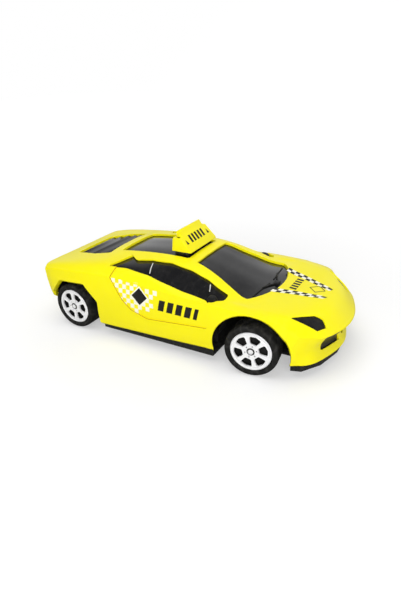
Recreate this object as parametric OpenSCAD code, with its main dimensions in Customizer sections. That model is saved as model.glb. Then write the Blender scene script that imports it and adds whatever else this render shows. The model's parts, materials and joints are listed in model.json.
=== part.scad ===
// Toy taxi coupe with steering front wheels, geared rear axle and a roof sign.
// Millimetres. +X is forward, +Y is the car's left side, +Z is up, the ground is z = 0.

/* [Body] */
// Length of the body from nose to tail
body_length = 204.5; // [198:0.5:210]
// Width of the body across the rear flanks
body_width = 94; // [92:0.5:98]
// Height of the roof above the ground
roof_height = 55; // [54:0.5:58]
// Height of the side windows' lower edge at the front above the ground
belt_height = 39.6; // [39:0.1:41]
// Wall of the body shell
shell_wall = 1.4; // [1.2:0.1:1.6]
// Wall of the window moulding
canopy_wall = 1.2; // [1:0.1:1.6]
// Depth of the door panels below the flank
door_depth = 0.6; // [0.3:0.1:0.8]
// Depth of the lamps and grilles below the skin
insert_depth = 0.9; // [0.5:0.1:1.2]

/* [Wheels] */
// Outer diameter of a tyre
tyre_d = 32; // [31:0.2:32.6]
// Width of a tyre
tyre_w = 14; // [12:0.5:14]
// Diameter of a rim
rim_d = 24.2; // [23:0.2:25]
// Windows cut in a rim face
rim_windows = 6; // [5:1:7]
// Diameter of the steel axles
axle_d = 3; // [2.6:0.1:3.2]
// Turn of the parked front wheels to the left, in degrees
parked_steer = 8; // [0:1:10]
// Length of the steering arms
steer_arm = 10; // [9:0.5:10]

/* [Roof sign] */
// Width of the roof sign across the car
sign_width = 33; // [28:0.5:34]
// Depth of the roof sign along the car
sign_depth = 14; // [12:0.5:15]
// Height of the roof sign
sign_height = 12.5; // [10:0.5:14]

/* [Chassis] */
// Height of the chassis floor above the ground
floor_clearance = 5; // [4.6:0.1:5.4]
// Thickness of the chassis floor
floor_t = 1.6; // [1.4:0.1:1.8]
// Wall of the chassis ribs and boxes
rib_t = 1.2; // [1:0.1:1.4]

/* [Drive] */
// Gear size, pitch diameter over teeth
gear_module = 0.4; // [0.38:0.01:0.41]
// Face width of a gear
gear_w = 3; // [2.4:0.1:3.2]
// Width of the flat drive motor
motor_w = 20; // [19:0.5:20.5]
// Height of the flat drive motor
motor_h = 15; // [14:0.5:15.4]
// Length of the drive motor
motor_length = 24; // [22:0.5:25]

/* [Battery] */
// Diameter of one cell
cell_d = 14.2; // [13.8:0.1:14.4]
// Length of one cell
cell_length = 50.2; // [49:0.1:50.4]

/* [Fits] */
// Radial clearance of turning fits
turn_clearance = 0.05; // [0.03:0.01:0.1]
// Gap between pieces that are laid together
lay_gap = 0.2; // [0.1:0.05:0.3]
// Overrun of every cut past the face it leaves
cut_overrun = 1; // [0.5:0.1:2]

/* [Hidden] */
$fn = 48;

right = -1;
left = 1;
half_length = body_length / 2;
half_width = body_width / 2;
belt_share = 0.72;

// Feature lines of the body from tail to nose: shares of half length, half width and roof height
centre_line_shares = [
    [-0.937, 0, 0.309], [-0.98, 0, 0.527], [-1, 0, 0.745], [-0.873, 0, 0.804],
    [-0.726, 0, 0.86], [-0.579, 0, 0.913], [-0.462, 0, 0.953], [-0.286, 0, 0.989],
    [-0.09, 0, 1], [0.105, 0, 0.967], [0.271, 0, 0.873], [0.428, 0, 0.785],
    [0.575, 0, 0.716], [0.731, 0, 0.696], [0.888, 0, 0.649], [1, 0, 0.436],
    [0.936, 0, 0.273], [0.966, 0, 0.155]
];
inner_line_shares = [
    [-0.936, 0.255, 0.309], [-0.98, 0.255, 0.527], [-1, 0.255, 0.745], [-0.873, 0.255, 0.802],
    [-0.726, 0.255, 0.858], [-0.579, 0.255, 0.909], [-0.462, 0.255, 0.949], [-0.286, 0.255, 0.984],
    [-0.09, 0.277, 0.993], [0.105, 0.255, 0.964], [0.271, 0.255, 0.869], [0.428, 0.277, 0.778],
    [0.575, 0.298, 0.716], [0.731, 0.277, 0.696], [0.883, 0.255, 0.646], [0.985, 0.277, 0.445],
    [0.925, 0.277, 0.282], [0.946, 0.277, 0.155]
];
rail_line_shares = [
    [-0.933, 0.553, 0.309], [-0.976, 0.553, 0.527], [-0.995, 0.553, 0.751], [-0.873, 0.553, 0.796],
    [-0.726, 0.553, 0.845], [-0.579, 0.553, 0.887], [-0.462, 0.553, 0.92], [-0.286, 0.553, 0.945],
    [-0.09, 0.553, 0.956], [0.105, 0.521, 0.938], [0.271, 0.606, 0.836], [0.428, 0.681, 0.731],
    [0.575, 0.702, 0.716], [0.731, 0.681, 0.695], [0.853, 0.596, 0.629], [0.932, 0.596, 0.465],
    [0.888, 0.596, 0.327], [0.897, 0.596, 0.164]
];
belt_line_shares = [
    [-0.927, 0.766, 0.309], [-0.964, 0.787, 0.536], [-0.98, 0.809, 0.755], [-0.873, 0.809, 0.793],
    [-0.726, 0.809, 0.829], [-0.579, 0.798, 0.858], [-0.462, 0.787, 0.878], [-0.286, 0.798, 0.898],
    [-0.09, 0.84, 0.865], [0.105, 0.862, 0.785], [0.271, 0.855, 0.745], [0.428, 0.826, 0.727],
    [0.575, 0.84, 0.713], [0.731, 0.815, 0.68], [0.814, 0.745, 0.612], [0.874, 0.745, 0.5],
    [0.848, 0.745, 0.327], [0.853, 0.745, 0.173]
];
shoulder_line_shares = [
    [-0.917, 0.872, 0.309], [-0.947, 0.915, 0.527], [-0.961, 0.926, 0.718], [-0.873, 0.947, 0.749],
    [-0.726, 0.962, 0.773], [-0.579, 0.957, 0.785], [-0.462, 0.947, 0.791], [-0.286, 0.943, 0.791],
    [-0.09, 0.947, 0.767], [0.105, 0.947, 0.738], [0.271, 0.947, 0.72], [0.428, 0.953, 0.709],
    [0.575, 0.949, 0.695], [0.731, 0.919, 0.651], [0.785, 0.868, 0.587], [0.818, 0.853, 0.527],
    [0.807, 0.847, 0.327], [0.8, 0.819, 0.178]
];
flank_line_shares = [
    [-0.905, 0.9, 0.302], [-0.934, 0.932, 0.445], [-0.944, 0.943, 0.564], [-0.873, 0.979, 0.582],
    [-0.726, 1, 0.6], [-0.579, 1, 0.6], [-0.462, 0.989, 0.591], [-0.286, 0.979, 0.582],
    [-0.09, 0.979, 0.573], [0.105, 0.979, 0.564], [0.271, 0.979, 0.555], [0.428, 0.985, 0.545],
    [0.575, 0.985, 0.536], [0.721, 0.953, 0.509], [0.765, 0.906, 0.473], [0.792, 0.881, 0.4],
    [0.784, 0.87, 0.273], [0.778, 0.851, 0.18]
];
lower_line_shares = [
    [-0.892, 0.921, 0.291], [-0.912, 0.94, 0.355], [-0.92, 0.949, 0.409], [-0.863, 0.979, 0.4],
    [-0.726, 0.996, 0.4], [-0.579, 0.996, 0.364], [-0.462, 0.989, 0.345], [-0.286, 0.983, 0.327],
    [-0.09, 0.983, 0.327], [0.105, 0.983, 0.327], [0.271, 0.983, 0.336], [0.428, 0.987, 0.336],
    [0.575, 0.987, 0.336], [0.711, 0.962, 0.318], [0.746, 0.932, 0.3], [0.766, 0.906, 0.264],
    [0.76, 0.896, 0.218], [0.756, 0.877, 0.181]
];
sill_line_shares = [
    [-0.879, 0.94, 0.278], [-0.875, 0.947, 0.276], [-0.869, 0.953, 0.273], [-0.844, 0.962, 0.255],
    [-0.726, 0.968, 0.2], [-0.579, 0.968, 0.164], [-0.462, 0.968, 0.164], [-0.286, 0.968, 0.173],
    [-0.09, 0.968, 0.182], [0.105, 0.968, 0.193], [0.271, 0.968, 0.204], [0.428, 0.968, 0.2],
    [0.575, 0.968, 0.191], [0.692, 0.945, 0.182], [0.717, 0.932, 0.182], [0.731, 0.919, 0.182],
    [0.734, 0.911, 0.182], [0.736, 0.9, 0.182]
];
feature_lines = [
    centre_line_shares, inner_line_shares, rail_line_shares, belt_line_shares,
    shoulder_line_shares, flank_line_shares, lower_line_shares, sill_line_shares
];
// Stretches that run smoothly, from tail to nose and from the centre line to the sill
length_runs = [[0, 2], [2, 12], [12, 15], [15, 17]];
girth_runs = [[0, 4], [4, 7]];

// Openings of the body, as shares in plan, in side view or in space
windscreen_shares = [
    [0.107, 0.415], [0.233, 0.451], [0.369, 0.543], [0.452, 0.613], [0.48, 0.62],
    [0.511, 0.54], [0.545, 0.406], [0.572, 0.2], [0.578, 0.05]
];
roof_panel_shares = [[0.025, 0.379], [-0.227, 0.383], [-0.462, 0.383]];
louvre_shares = [[-0.565, 0.457], [-0.697, 0.479], [-0.863, 0.383]];
side_window_shares = [
    [-0.445, 0.877], [-0.299, 0.902], [-0.116, 0.877], [0.117, 0.783], [0.279, 0.741],
    [0.336, 0.738], [0.391, 0.742], [0.327, 0.786], [0.225, 0.857], [0.113, 0.915],
    [-0.036, 0.952], [-0.178, 0.949], [-0.282, 0.933], [-0.347, 0.941]
];
door_shares = [
    [-0.387, 0.8], [-0.352, 0.705], [-0.288, 0.54], [-0.231, 0.447], [-0.112, 0.38],
    [0.31, 0.447], [0.298, 0.96], [-0.36, 0.96]
];
rear_arch_shares = [
    [-0.94, 0.11], [-0.907, 0.436], [-0.812, 0.627], [-0.6, 0.65], [-0.5, 0.45], [-0.511, 0.11]
];
canopy_edge_shares = [
    [-0.53, 0.82], [-0.3, 0.85], [-0.09, 0.81], [0.117, 0.735], [0.391, 0.695], [0.6, 0.68],
    [0.6, 1.1], [-0.53, 1.1]
];
headlamp_shares = [
    [0.75, 0.764, 0.678], [0.853, 0.511, 0.64], [0.892, 0.466, 0.591], [0.918, 0.5, 0.525],
    [0.885, 0.64, 0.53]
];
headlamp_normal = [0.6, 0.36, 0.71];
grille_shares = [
    [0.95, 0.2, 0.37], [0.937, 0.18, 0.24], [0.9, 0.53, 0.27], [0.92, 0.56, 0.41]
];
grille_normal = [0.95, 0.31, 0];
tail_lamp_shares = [
    [-0.985, 0.4, 0.65], [-0.965, 0.8, 0.65], [-0.955, 0.76, 0.55], [-0.975, 0.44, 0.55]
];
tail_normal = [-1, 0, 0];

front_axle_share = 0.545;
rear_axle_share = -0.726;
front_x = front_axle_share * half_length;
rear_x = rear_axle_share * half_length;
axle_z = tyre_d / 2;
axle_r = axle_d / 2;
tyre_outer_y = 0.979 * half_width;
tyre_inner_y = tyre_outer_y - tyre_w;
arch_r = 0.68 * tyre_d;
arch_x = front_x + 0.05 * tyre_d;
arch_stretch = 1.06;
arch_inner_y = 0.62 * half_width;
floor_top = floor_clearance + floor_t;

function spline(a, b, c, d, t) =
    (2 * pow(t, 3) - 3 * pow(t, 2) + 1) * b + (pow(t, 3) - 2 * pow(t, 2) + t) * (c - a) / 2
    + (3 * pow(t, 2) - 2 * pow(t, 3)) * c + (pow(t, 3) - pow(t, 2)) * (d - b) / 2;
function mirrored(p) = [p.x, -p.y, p.z];
function knot_before(p, i, first, across) =
    i > first ? p[i - 1] : across && i == 0 ? mirrored(p[1]) : 2 * p[i] - p[i + 1];
function knot_after(p, i, last) = i + 2 <= last ? p[i + 2] : 2 * p[i + 1] - p[i];
function curve(p, runs, steps, across) = concat([p[0]], [
    for (run = runs) for (i = [run[0] : run[1] - 1]) for (k = [1 : steps])
        spline(knot_before(p, i, run[0], across), p[i], p[i + 1], knot_after(p, i, run[1]), k / steps)
]);
// Height for a share: from the ground to the belt, and from the belt to the roof
function rise(share) = share < belt_share ? share / belt_share * belt_height
    : belt_height + (share - belt_share) / (1 - belt_share) * (roof_height - belt_height);
function placed(share, inset) = [
    share.x * (half_length - inset), share.y * (half_width - inset), rise(share.z) - inset
];
function half_ring(rows, u, steps) = curve([for (row = rows) row[u]], girth_runs, steps, true);
function ring(half) = concat(
    [for (k = [len(half) - 1 : -1 : 0]) mirrored(half[k])], [for (k = [1 : len(half) - 1]) half[k]]
);

// Closed solid of the body outline, drawn in by an inset
module body_form(inset, length_steps, girth_steps) {
    rows = [for (line = feature_lines)
        curve([for (share = line) placed(share, inset)], length_runs, length_steps, false)];
    count = len(rows[0]);
    rings = [for (u = [0 : count - 1]) ring(half_ring(rows, u, girth_steps))];
    n = len(rings[0]);
    mid = (n - 1) / 2;
    end = (count - 1) * n;
    skin = [for (u = [0 : count - 2]) for (k = [0 : n - 2]) each [
        [u * n + k, u * n + k + 1, (u + 1) * n + k + 1],
        [u * n + k, (u + 1) * n + k + 1, (u + 1) * n + k]]];
    under = [for (u = [0 : count - 2]) each [
        [u * n, (u + 1) * n, (u + 1) * n + n - 1], [u * n, (u + 1) * n + n - 1, u * n + n - 1]]];
    tail = [for (k = [0 : mid - 2]) each [
        [k + 1, k, n - 1 - k], [k + 1, n - 1 - k, n - 2 - k]]];
    nose = [for (k = [0 : mid - 2]) each [
        [end + k, end + k + 1, end + n - 2 - k], [end + k, end + n - 2 - k, end + n - 1 - k]]];
    tips = [[mid, mid - 1, mid + 1], [end + mid - 1, end + mid, end + mid + 1]];
    polyhedron([for (r = rings) each r], concat(skin, under, tail, nose, tips));
}

// Flat block of a length and width about a centre, standing on a height
module block(x, y, z, length, width, height) {
    translate([x - length / 2, y - width / 2, z]) cube([length, width, height]);
}

// Upright round post between two heights
module post(x, y, z_low, z_high, r) {
    translate([x, y, z_low]) cylinder(h = z_high - z_low, r = r);
}

// Round bar across the car between two places
module bar(x, z, y_low, y_high, r) {
    translate([x, y_low, z]) rotate([-90, 0, 0]) cylinder(h = y_high - y_low, r = r);
}

// Plan outline given as shares on one side, mirrored to the other, cut upward from a height
module plan_cut(shares, z_low, z_high) {
    one = [for (s = shares) [s.x * half_length, s.y * half_width]];
    two = [for (k = [len(one) - 1 : -1 : 0]) [one[k].x, -one[k].y]];
    translate([0, 0, z_low]) linear_extrude(z_high - z_low) polygon(concat(one, two));
}

// Rounded plan opening
module plan_opening(shares, z_low, z_high, r) {
    hull() for (s = shares) for (side = [right, left])
        post(s.x * half_length, side * (s.y * half_width - r), z_low, z_high, r);
}

// Side view outline given as shares, drawn through one side of the car
module side_cut(shares, side, y_low, y_high) {
    translate([0, side > 0 ? y_high : -y_low, 0]) rotate([90, 0, 0])
        linear_extrude(y_high - y_low) polygon([for (s = shares) [s.x * half_length, rise(s.y)]]);
}

// Block that stands on an outline of the skin along a direction
module skin_block(shares, normal, side, low, high, grow) {
    outline = [for (s = shares) [s.x * half_length, side * s.y * half_width, rise(s.z)]];
    n = len(outline);
    middle = [for (i = [0 : 2]) [for (p = outline) p[i]] * [for (p = outline) 1] / n];
    way = [normal.x, side * normal.y, normal.z];
    places = [for (d = [low, high]) for (p = outline) middle + grow * (p - middle) + d * way];
    hull() polyhedron(places, [[for (k = [0 : n - 1]) k], [for (k = [n - 1 : -1 : 0]) n + k],
        for (k = [0 : n - 1]) [k, n + k, n + (k + 1) % n, (k + 1) % n]]);
}

// Drive train places
big_teeth = 36;
small_teeth = 12;
pinion_teeth = 10;
gear_gap = lay_gap;
idler_x = rear_x + gear_module * (big_teeth + small_teeth) / 2;
motor_x = idler_x + gear_module * (big_teeth + pinion_teeth) / 2;
box_divide_y = (motor_length - 11 * gear_gap - 2 * gear_w - rib_t) / 2;
chamber_low = box_divide_y + rib_t;
big_low = chamber_low + 5 * gear_gap;
small_low = big_low + gear_w;
axle_gear_low = small_low + 2 * gear_gap;
small_high = axle_gear_low + gear_w + gear_gap;
chamber_high = small_high + 5 * gear_gap;
box_right = box_divide_y - motor_length - 2 * gear_gap - rib_t;
box_left = chamber_high + rib_t;
box_back = rear_x - gear_module * (big_teeth / 2 + 2) - 2 * gear_gap - rib_t;
box_front = motor_x + motor_w / 2 + 2 * gear_gap + rib_t;
box_top = axle_z + gear_module * (big_teeth / 2 + 2) + gear_gap + rib_t;
idler_r = 0.33 * axle_d;
ear_r = axle_d;
ear_t = 0.7 * axle_d;
ear_places = [
    [box_back - 0.8 * ear_r, box_right + 2 * ear_r], [box_back - 0.8 * ear_r, box_left - 2 * ear_r],
    [box_front + 0.8 * ear_r, box_right + 2 * ear_r], [box_front + 0.8 * ear_r, box_left - 2 * ear_r]
];

skin_steps = [3, 2];
lining_steps = [2, 2];
cut_reach = 6 * shell_wall;
insert_grow = 0.97;
canopy_inset = shell_wall + lay_gap;
window_y = 0.5 * half_width;
boss_r = 2 * axle_r;
screw_r = 0.4 * axle_d;
screw_head_r = 2 * screw_r;
screw_head_h = 0.7 * axle_d;
front_boss_x = 0.77 * half_length;
rear_boss_x = box_back - (screw_head_r + rib_t) - 4 * lay_gap;
front_boss_y = 0.32 * half_width;
rear_boss_y = 0.51 * half_width;
well_top = floor_clearance + screw_head_h + rib_t + lay_gap;
boss_places = [
    [front_boss_x, front_boss_y], [front_boss_x, -front_boss_y],
    [rear_boss_x, rear_boss_y], [rear_boss_x, -rear_boss_y]
];
pod_x = 0.299 * half_length;
pod_z = rise(0.738);
pod_r = 2 * canopy_wall + lay_gap;

// Body

module body_shell() {
    color([1, 0.86, 0.05]) {
        difference() {
            body_form(0, skin_steps[0], skin_steps[1]);
            body_form(shell_wall, lining_steps[0], lining_steps[1]);
            plan_cut(windscreen_shares, 0.6 * roof_height, 1.2 * roof_height);
            plan_opening(roof_panel_shares, 0.8 * roof_height, 1.2 * roof_height, shell_wall);
            plan_opening(louvre_shares, 0.6 * roof_height, 1.2 * roof_height, shell_wall);
            for (side = [right, left]) {
                side_cut(side_window_shares, side, window_y, 1.2 * half_width);
                difference() {
                    side_cut(door_shares, side, 0.7 * half_width, 1.2 * half_width);
                    body_form(door_depth, skin_steps[0], skin_steps[1]);
                }
                hull() side_cut(rear_arch_shares, side, arch_inner_y, 1.2 * half_width);
                translate([arch_x, side * 0.5 * (arch_inner_y + 1.2 * half_width), axle_z])
                    scale([arch_stretch, 1, 1]) rotate([90, 0, 0])
                        cylinder(h = 1.2 * half_width - arch_inner_y, r = arch_r, center = true);
                skin_block(headlamp_shares, headlamp_normal, side, -cut_reach, cut_reach, 1);
                skin_block(grille_shares, grille_normal, side, -cut_reach, cut_reach, 1);
                skin_block(tail_lamp_shares, tail_normal, side, -cut_reach, cut_reach, 1);
                translate([pod_x, side * window_y, pod_z]) rotate([-side * 90, 0, 0])
                    cylinder(h = half_width, r = pod_r + lay_gap);
            }
        }
        difference() {
            intersection() {
                for (p = boss_places) post(p.x, p.y, well_top, roof_height, boss_r);
                body_form(0.5 * shell_wall, lining_steps[0], lining_steps[1]);
            }
            for (p = boss_places) post(p.x, p.y, well_top - cut_overrun, 0.5 * roof_height,
                screw_r + lay_gap);
        }
    }
}

seat_z = rise(1.02);
seat_low = rise(0.97) - canopy_inset - canopy_wall / 2;
seat_width = min(0.9 * sign_width, 0.64 * half_width);
sign_front_x = 0.047 * half_length;
wiper_r = min(0.6 * canopy_wall, 0.047 * (roof_height - belt_height));
// Wiper blades and arms and the pillar lines of the side glass, as shares of the outer skin
wiper_blade_shares = [[0.487, 0.49, 0.738], [0.508, 0.07, 0.749]];
wiper_arm_shares = [[0.535, 0.045, 0.735], [0.497, 0.25, 0.747]];
pillar_line_shares = [
    [[-0.175, 0.6, 0.937], [-0.134, 0.725, 0.906]], [[0.251, 0.646, 0.832], [0.294, 0.82, 0.754]]
];
module ridge(shares, side) {
    hull() for (s = shares) {
        p = placed(s, canopy_inset);
        translate([p.x, side * p.y, p.z]) sphere(r = wiper_r, $fn = 16);
    }
}

module window_canopy() {
    color([0.05, 0.05, 0.06]) {
        intersection() {
            difference() {
                body_form(canopy_inset, lining_steps[0], lining_steps[1]);
                body_form(canopy_inset + canopy_wall, lining_steps[0], lining_steps[1]);
            }
            translate([0, half_width, 0]) rotate([90, 0, 0]) linear_extrude(body_width)
                polygon([for (s = canopy_edge_shares) [s.x * half_length, rise(s.y)]]);
        }
        block(sign_front_x - 0.57 * sign_depth, 0, seat_low, 0.71 * sign_depth, seat_width,
            seat_z - seat_low);
        for (side = [right, left]) {
            ridge(wiper_blade_shares, side);
            ridge(wiper_arm_shares, side);
            for (line = pillar_line_shares) ridge(line, side);
            translate([pod_x, side * 0.7 * half_width, pod_z]) rotate([-side * 90, 0, 0])
                cylinder(h = 0.19 * half_width, r1 = pod_r, r2 = 0.7 * pod_r, $fn = 32);
        }
        block(wiper_arm_shares[0].x * half_length, 0,
            rise(wiper_arm_shares[0].z) - 2 * canopy_wall,
            3 * canopy_wall, 4 * canopy_wall, 2 * canopy_wall);
    }
}

cover_shares = [[-0.545, 0.49], [-0.697, 0.515], [-0.885, 0.42]];
cover_drop = 2.44 * shell_wall;
cover_front = [-0.545 * half_length, rise(0.92) - cover_drop];
cover_back = [-0.885 * half_length, rise(0.812) - cover_drop];
slat_count = 5;
slat_rise = 1.5 * shell_wall;
module engine_cover() {
    color([0.07, 0.07, 0.08]) intersection() {
        union() {
            translate([0, half_width, 0]) rotate([90, 0, 0]) linear_extrude(body_width) polygon([
                cover_front, cover_back, cover_back - [0, canopy_wall], cover_front - [0, canopy_wall]]);
            intersection() {
                translate([0, half_width, 0]) rotate([90, 0, 0]) linear_extrude(body_width)
                    for (k = [0 : slat_count - 1]) {
                        low = cover_back + (cover_front - cover_back) * (k + 0.55) / (slat_count + 0.8);
                        high = cover_back + (cover_front - cover_back) * (k + 1.5) / (slat_count + 0.8);
                        polygon([low, low + [slat_rise * 0.35, slat_rise], high, high - [0,
                            canopy_wall], low - [0, canopy_wall]]);
                    }
                translate([-0.714 * half_length, 0, 0]) scale([insert_grow * insert_grow, insert_grow, 1])
                    translate([0.714 * half_length, 0, 0]) plan_cut(louvre_shares, 0, roof_height);
            }
        }
        plan_cut(cover_shares, 0, roof_height);
    }
}

module headlamp(side) {
    color([0.06, 0.06, 0.07])
        skin_block(headlamp_shares, headlamp_normal, side, -insert_depth - shell_wall, -insert_depth,
            insert_grow);
}
module headlamp_right() { headlamp(right); }
module headlamp_left() { headlamp(left); }

module front_grille(side) {
    color([0.06, 0.06, 0.07])
        skin_block(grille_shares, grille_normal, side, -insert_depth - shell_wall, -insert_depth,
            insert_grow);
}
module front_grille_right() { front_grille(right); }
module front_grille_left() { front_grille(left); }

module tail_lamp(side) {
    color([0.7, 0.05, 0.04])
        skin_block(tail_lamp_shares, tail_normal, side, -insert_depth - shell_wall, -insert_depth,
            insert_grow);
}
module tail_lamp_right() { tail_lamp(right); }
module tail_lamp_left() { tail_lamp(left); }

sign_base_h = 0.7 * sign_height;
sign_end = 0.1 * sign_width;
module roof_sign() {
    color([1, 0.86, 0.05]) translate([sign_front_x, 0, seat_z]) {
        translate([0, sign_width / 2, 0]) rotate([90, 0, 0]) linear_extrude(sign_width) polygon([
            [0, 0], [-0.03 * sign_depth, 0.1 * sign_height], [-0.57 * sign_depth, sign_base_h],
            [-0.92 * sign_depth, sign_base_h], [-sign_depth, 0]]);
        translate([0, sign_width / 2 - sign_end, 0]) rotate([90, 0, 0])
            linear_extrude(sign_width - 2 * sign_end) polygon([
                [-0.57 * sign_depth, sign_base_h], [-0.74 * sign_depth, sign_height],
                [-0.83 * sign_depth, sign_height], [-0.86 * sign_depth, sign_base_h]]);
    }
}

// Battery bay and chassis

plate_t = 2 * lay_gap;
bay_x = (box_front + 1.8 * ear_r + front_x - 4 * axle_d) / 2;
bay_length = cell_length + 2 * plate_t + 2 * lay_gap;
cell_pitch = cell_d + lay_gap;
cell_count = 4;
bay_width = cell_count * cell_pitch + lay_gap;
cell_z = floor_top + lay_gap + cell_d / 2;
bay_top = cell_z + cell_d / 2 + lay_gap;
ledge = rib_t;
tongue = 5 * rib_t;
tongue_x = bay_x + bay_length / 2 + 0.5 * tongue;
tongue_t = 0.75 * floor_t;
door_head_h = 0.3 * floor_t;
kingpin_y = tyre_inner_y - 5.5 / 14 * tyre_w;
kingpin_r = axle_r;
knuckle_r = 2.2 * kingpin_r;
knuckle_low = 0.62 * axle_z;
arm_t = 0.65 * axle_d;
arm_z = axle_z + 1.35 * axle_d;
arm_w = 1.35 * axle_d;
peg_r = 0.4 * axle_d;
rod_z = arm_z + arm_t + lay_gap;
rod_t = 0.55 * axle_d;
peg_top = rod_z + rod_t + lay_gap;
knuckle_top = peg_top + lay_gap;
bridge_z = knuckle_top + lay_gap;
bridge_t = 0.55 * axle_d;
bridge_post_y = 0.26 * half_width;
lever_x = front_x + 2 * steer_arm;
servo_length = 1.7 * steer_arm;
servo_width = 0.43 * half_width;
servo_low = floor_clearance + 2 * floor_t;
servo_top = arm_z - lay_gap;
switch_y = 0.42 * half_width;
slider_w = 0.8 * axle_d;
slider_travel = 0.8 * axle_d;
switch_length = 3.6 * axle_d;
switch_x = bay_x + bay_length / 2 + rib_t + switch_length / 2 + 2 * lay_gap;
switch_width = 2 * axle_d;
switch_h = 1.6 * axle_d;
board_z = bay_top + rib_t + 0.7 * axle_d;
board_t = 0.9 * floor_t;
board_length = 0.43 * half_length;
board_width = 0.72 * half_width;
board_post_x = 0.45 * board_length;
board_post_y = 0.42 * board_width;
rail_top = rise(0.218);
tray_y = 0.923 * half_width;
keel_y = 0.6 * half_width;
front_keel_y = 0.5 * half_width;
tray_back = -0.49 * half_length;
tray_front = 0.325 * half_length;
// Plan of the front lip and the rear valance, as shares
lip_shares = [[0.7, 0.5], [0.768, 0.5], [0.773, 0.8], [0.83, 0.766], [0.905, 0.53], [0.95, 0.17]];
valance_front = rear_x - tyre_d / 2 - 9 * lay_gap;
valance_back = valance_front - rib_t;
valance_y = 0.76 * half_width;
valance_top = rise(0.305);
module floor_plate() {
    block((tray_back + tray_front) / 2, 0, floor_clearance, tray_front - tray_back, 2 * tray_y, floor_t);
    block((tray_front + 0.75 * half_length) / 2, 0, floor_clearance,
        0.75 * half_length - tray_front + cut_overrun, 2 * front_keel_y, floor_t);
    block((tray_back + valance_back) / 2, 0, floor_clearance,
        tray_back - valance_back + cut_overrun, 2 * keel_y, floor_t);
    block(front_x, 0, floor_clearance, 2.2 * knuckle_r, 2 * kingpin_y + 2 * knuckle_r, floor_t);
    block((valance_front + valance_back) / 2, 0, floor_clearance,
        valance_front - valance_back, 2 * valance_y, valance_top - floor_clearance);
    plan_cut(lip_shares, floor_clearance, floor_clearance + 2 * floor_t);
    for (side = [right, left])
        block((tray_back + tray_front) / 2, side * (tray_y - rib_t / 2), floor_clearance,
            tray_front - tray_back, rib_t, rail_top - floor_clearance);
}

module chassis() {
    color([0.06, 0.06, 0.06]) difference() {
        union() {
            floor_plate();
            block(bay_x, 0, floor_clearance, bay_length + 2 * rib_t, bay_width + 2 * rib_t,
                bay_top + rib_t - floor_clearance);
            for (p = boss_places) post(p.x, p.y, floor_clearance, well_top, screw_head_r + rib_t);
            for (side = [right, left]) {
                post(front_x, side * kingpin_y, floor_clearance, knuckle_low - lay_gap, knuckle_r);
                post(front_x, side * kingpin_y, floor_clearance, bridge_z + bridge_t, kingpin_r);
                post(front_x, side * bridge_post_y, floor_clearance, bridge_z, ear_r);
                for (end = [-1, 1])
                    post(bay_x + end * board_post_x, side * board_post_y, bay_top, board_z, ear_r / 2);
            }
            post(tongue_x, 0, floor_clearance, floor_top + 2 * axle_d, screw_r + rib_t);
        }
        block(bay_x, 0, floor_clearance - cut_overrun, bay_length, bay_width,
            bay_top - floor_clearance + cut_overrun);
        block(bay_x, 0, floor_clearance - cut_overrun, bay_length + 2 * ledge, bay_width + 2 * ledge,
            floor_t / 2 + cut_overrun);
        block(tongue_x, 0, floor_clearance - cut_overrun, tongue + 2 * lay_gap, 2 * tongue + 2 * lay_gap,
            tongue_t + cut_overrun);
        post(tongue_x, 0, floor_clearance - cut_overrun, floor_top + 1.6 * axle_d,
            screw_r + lay_gap / 2);
        for (p = boss_places) {
            post(p.x, p.y, floor_clearance - cut_overrun, floor_clearance + screw_head_h + lay_gap,
                screw_head_r + lay_gap);
            post(p.x, p.y, floor_clearance, well_top + cut_overrun, screw_r + lay_gap);
        }
        for (side = [right, left])
            post(front_x, side * bridge_post_y, axle_z, bridge_z + cut_overrun, screw_r + lay_gap / 2);
        block(switch_x, switch_y, floor_clearance - cut_overrun, slider_w + slider_travel + 2 * lay_gap,
            slider_w + 2 * lay_gap, floor_t + 2 * cut_overrun);
    }
}

module battery_door() {
    color([0.07, 0.07, 0.07]) difference() {
        union() {
            block(bay_x, 0, floor_clearance, bay_length + 2 * ledge - 2 * lay_gap,
                bay_width + 2 * ledge - 2 * lay_gap, floor_t / 2);
            block(bay_x, 0, floor_clearance, bay_length - 2 * lay_gap, bay_width - 2 * lay_gap, floor_t);
            block(tongue_x, 0, floor_clearance, tongue, 2 * tongue, tongue_t);
        }
        post(tongue_x, 0, floor_clearance - cut_overrun, floor_top + cut_overrun,
            screw_r + lay_gap / 2);
        post(tongue_x, 0, floor_clearance - cut_overrun, floor_clearance + door_head_h + lay_gap / 2,
            screw_head_r + lay_gap);
    }
}

module battery_cells() {
    color([0.25, 0.35, 0.3]) for (k = [0 : cell_count - 1]) {
        facing = k % 2 == 0 ? 1 : -1;
        translate([bay_x - facing * cell_length / 2, (k - (cell_count - 1) / 2) * cell_pitch, cell_z])
            rotate([0, facing * 90, 0]) {
                cylinder(h = 0.97 * cell_length, r = cell_d / 2);
                cylinder(h = cell_length, r = 0.19 * cell_d);
            }
    }
}

module battery_contacts() {
    color([0.75, 0.75, 0.72]) for (end = [-1, 1]) for (pair = [-1, 1])
        block(bay_x + end * (bay_length - plate_t) / 2, pair * cell_pitch, cell_z - 0.3 * cell_d,
            plate_t, 1.7 * cell_pitch, 0.6 * cell_d);
}

module receiver_board() {
    color([0.12, 0.32, 0.16]) block(bay_x, 0, board_z, board_length, board_width, board_t);
}

module board_chips() {
    top = board_z + board_t;
    color([0.1, 0.1, 0.1]) {
        block(bay_x, 0, top, 0.3 * board_length, 0.25 * board_width, 0.7 * axle_d);
        post(bay_x + 0.3 * board_length, 0.25 * board_width, top, top + 2.2 * axle_d, 0.9 * axle_d);
        post(bay_x + 0.3 * board_length, -0.2 * board_width, top, top + 1.7 * axle_d, 0.7 * axle_d);
        block(bay_x - 0.3 * board_length, -0.2 * board_width, top, 0.2 * board_length,
            0.12 * board_width, axle_d);
    }
}

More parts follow.
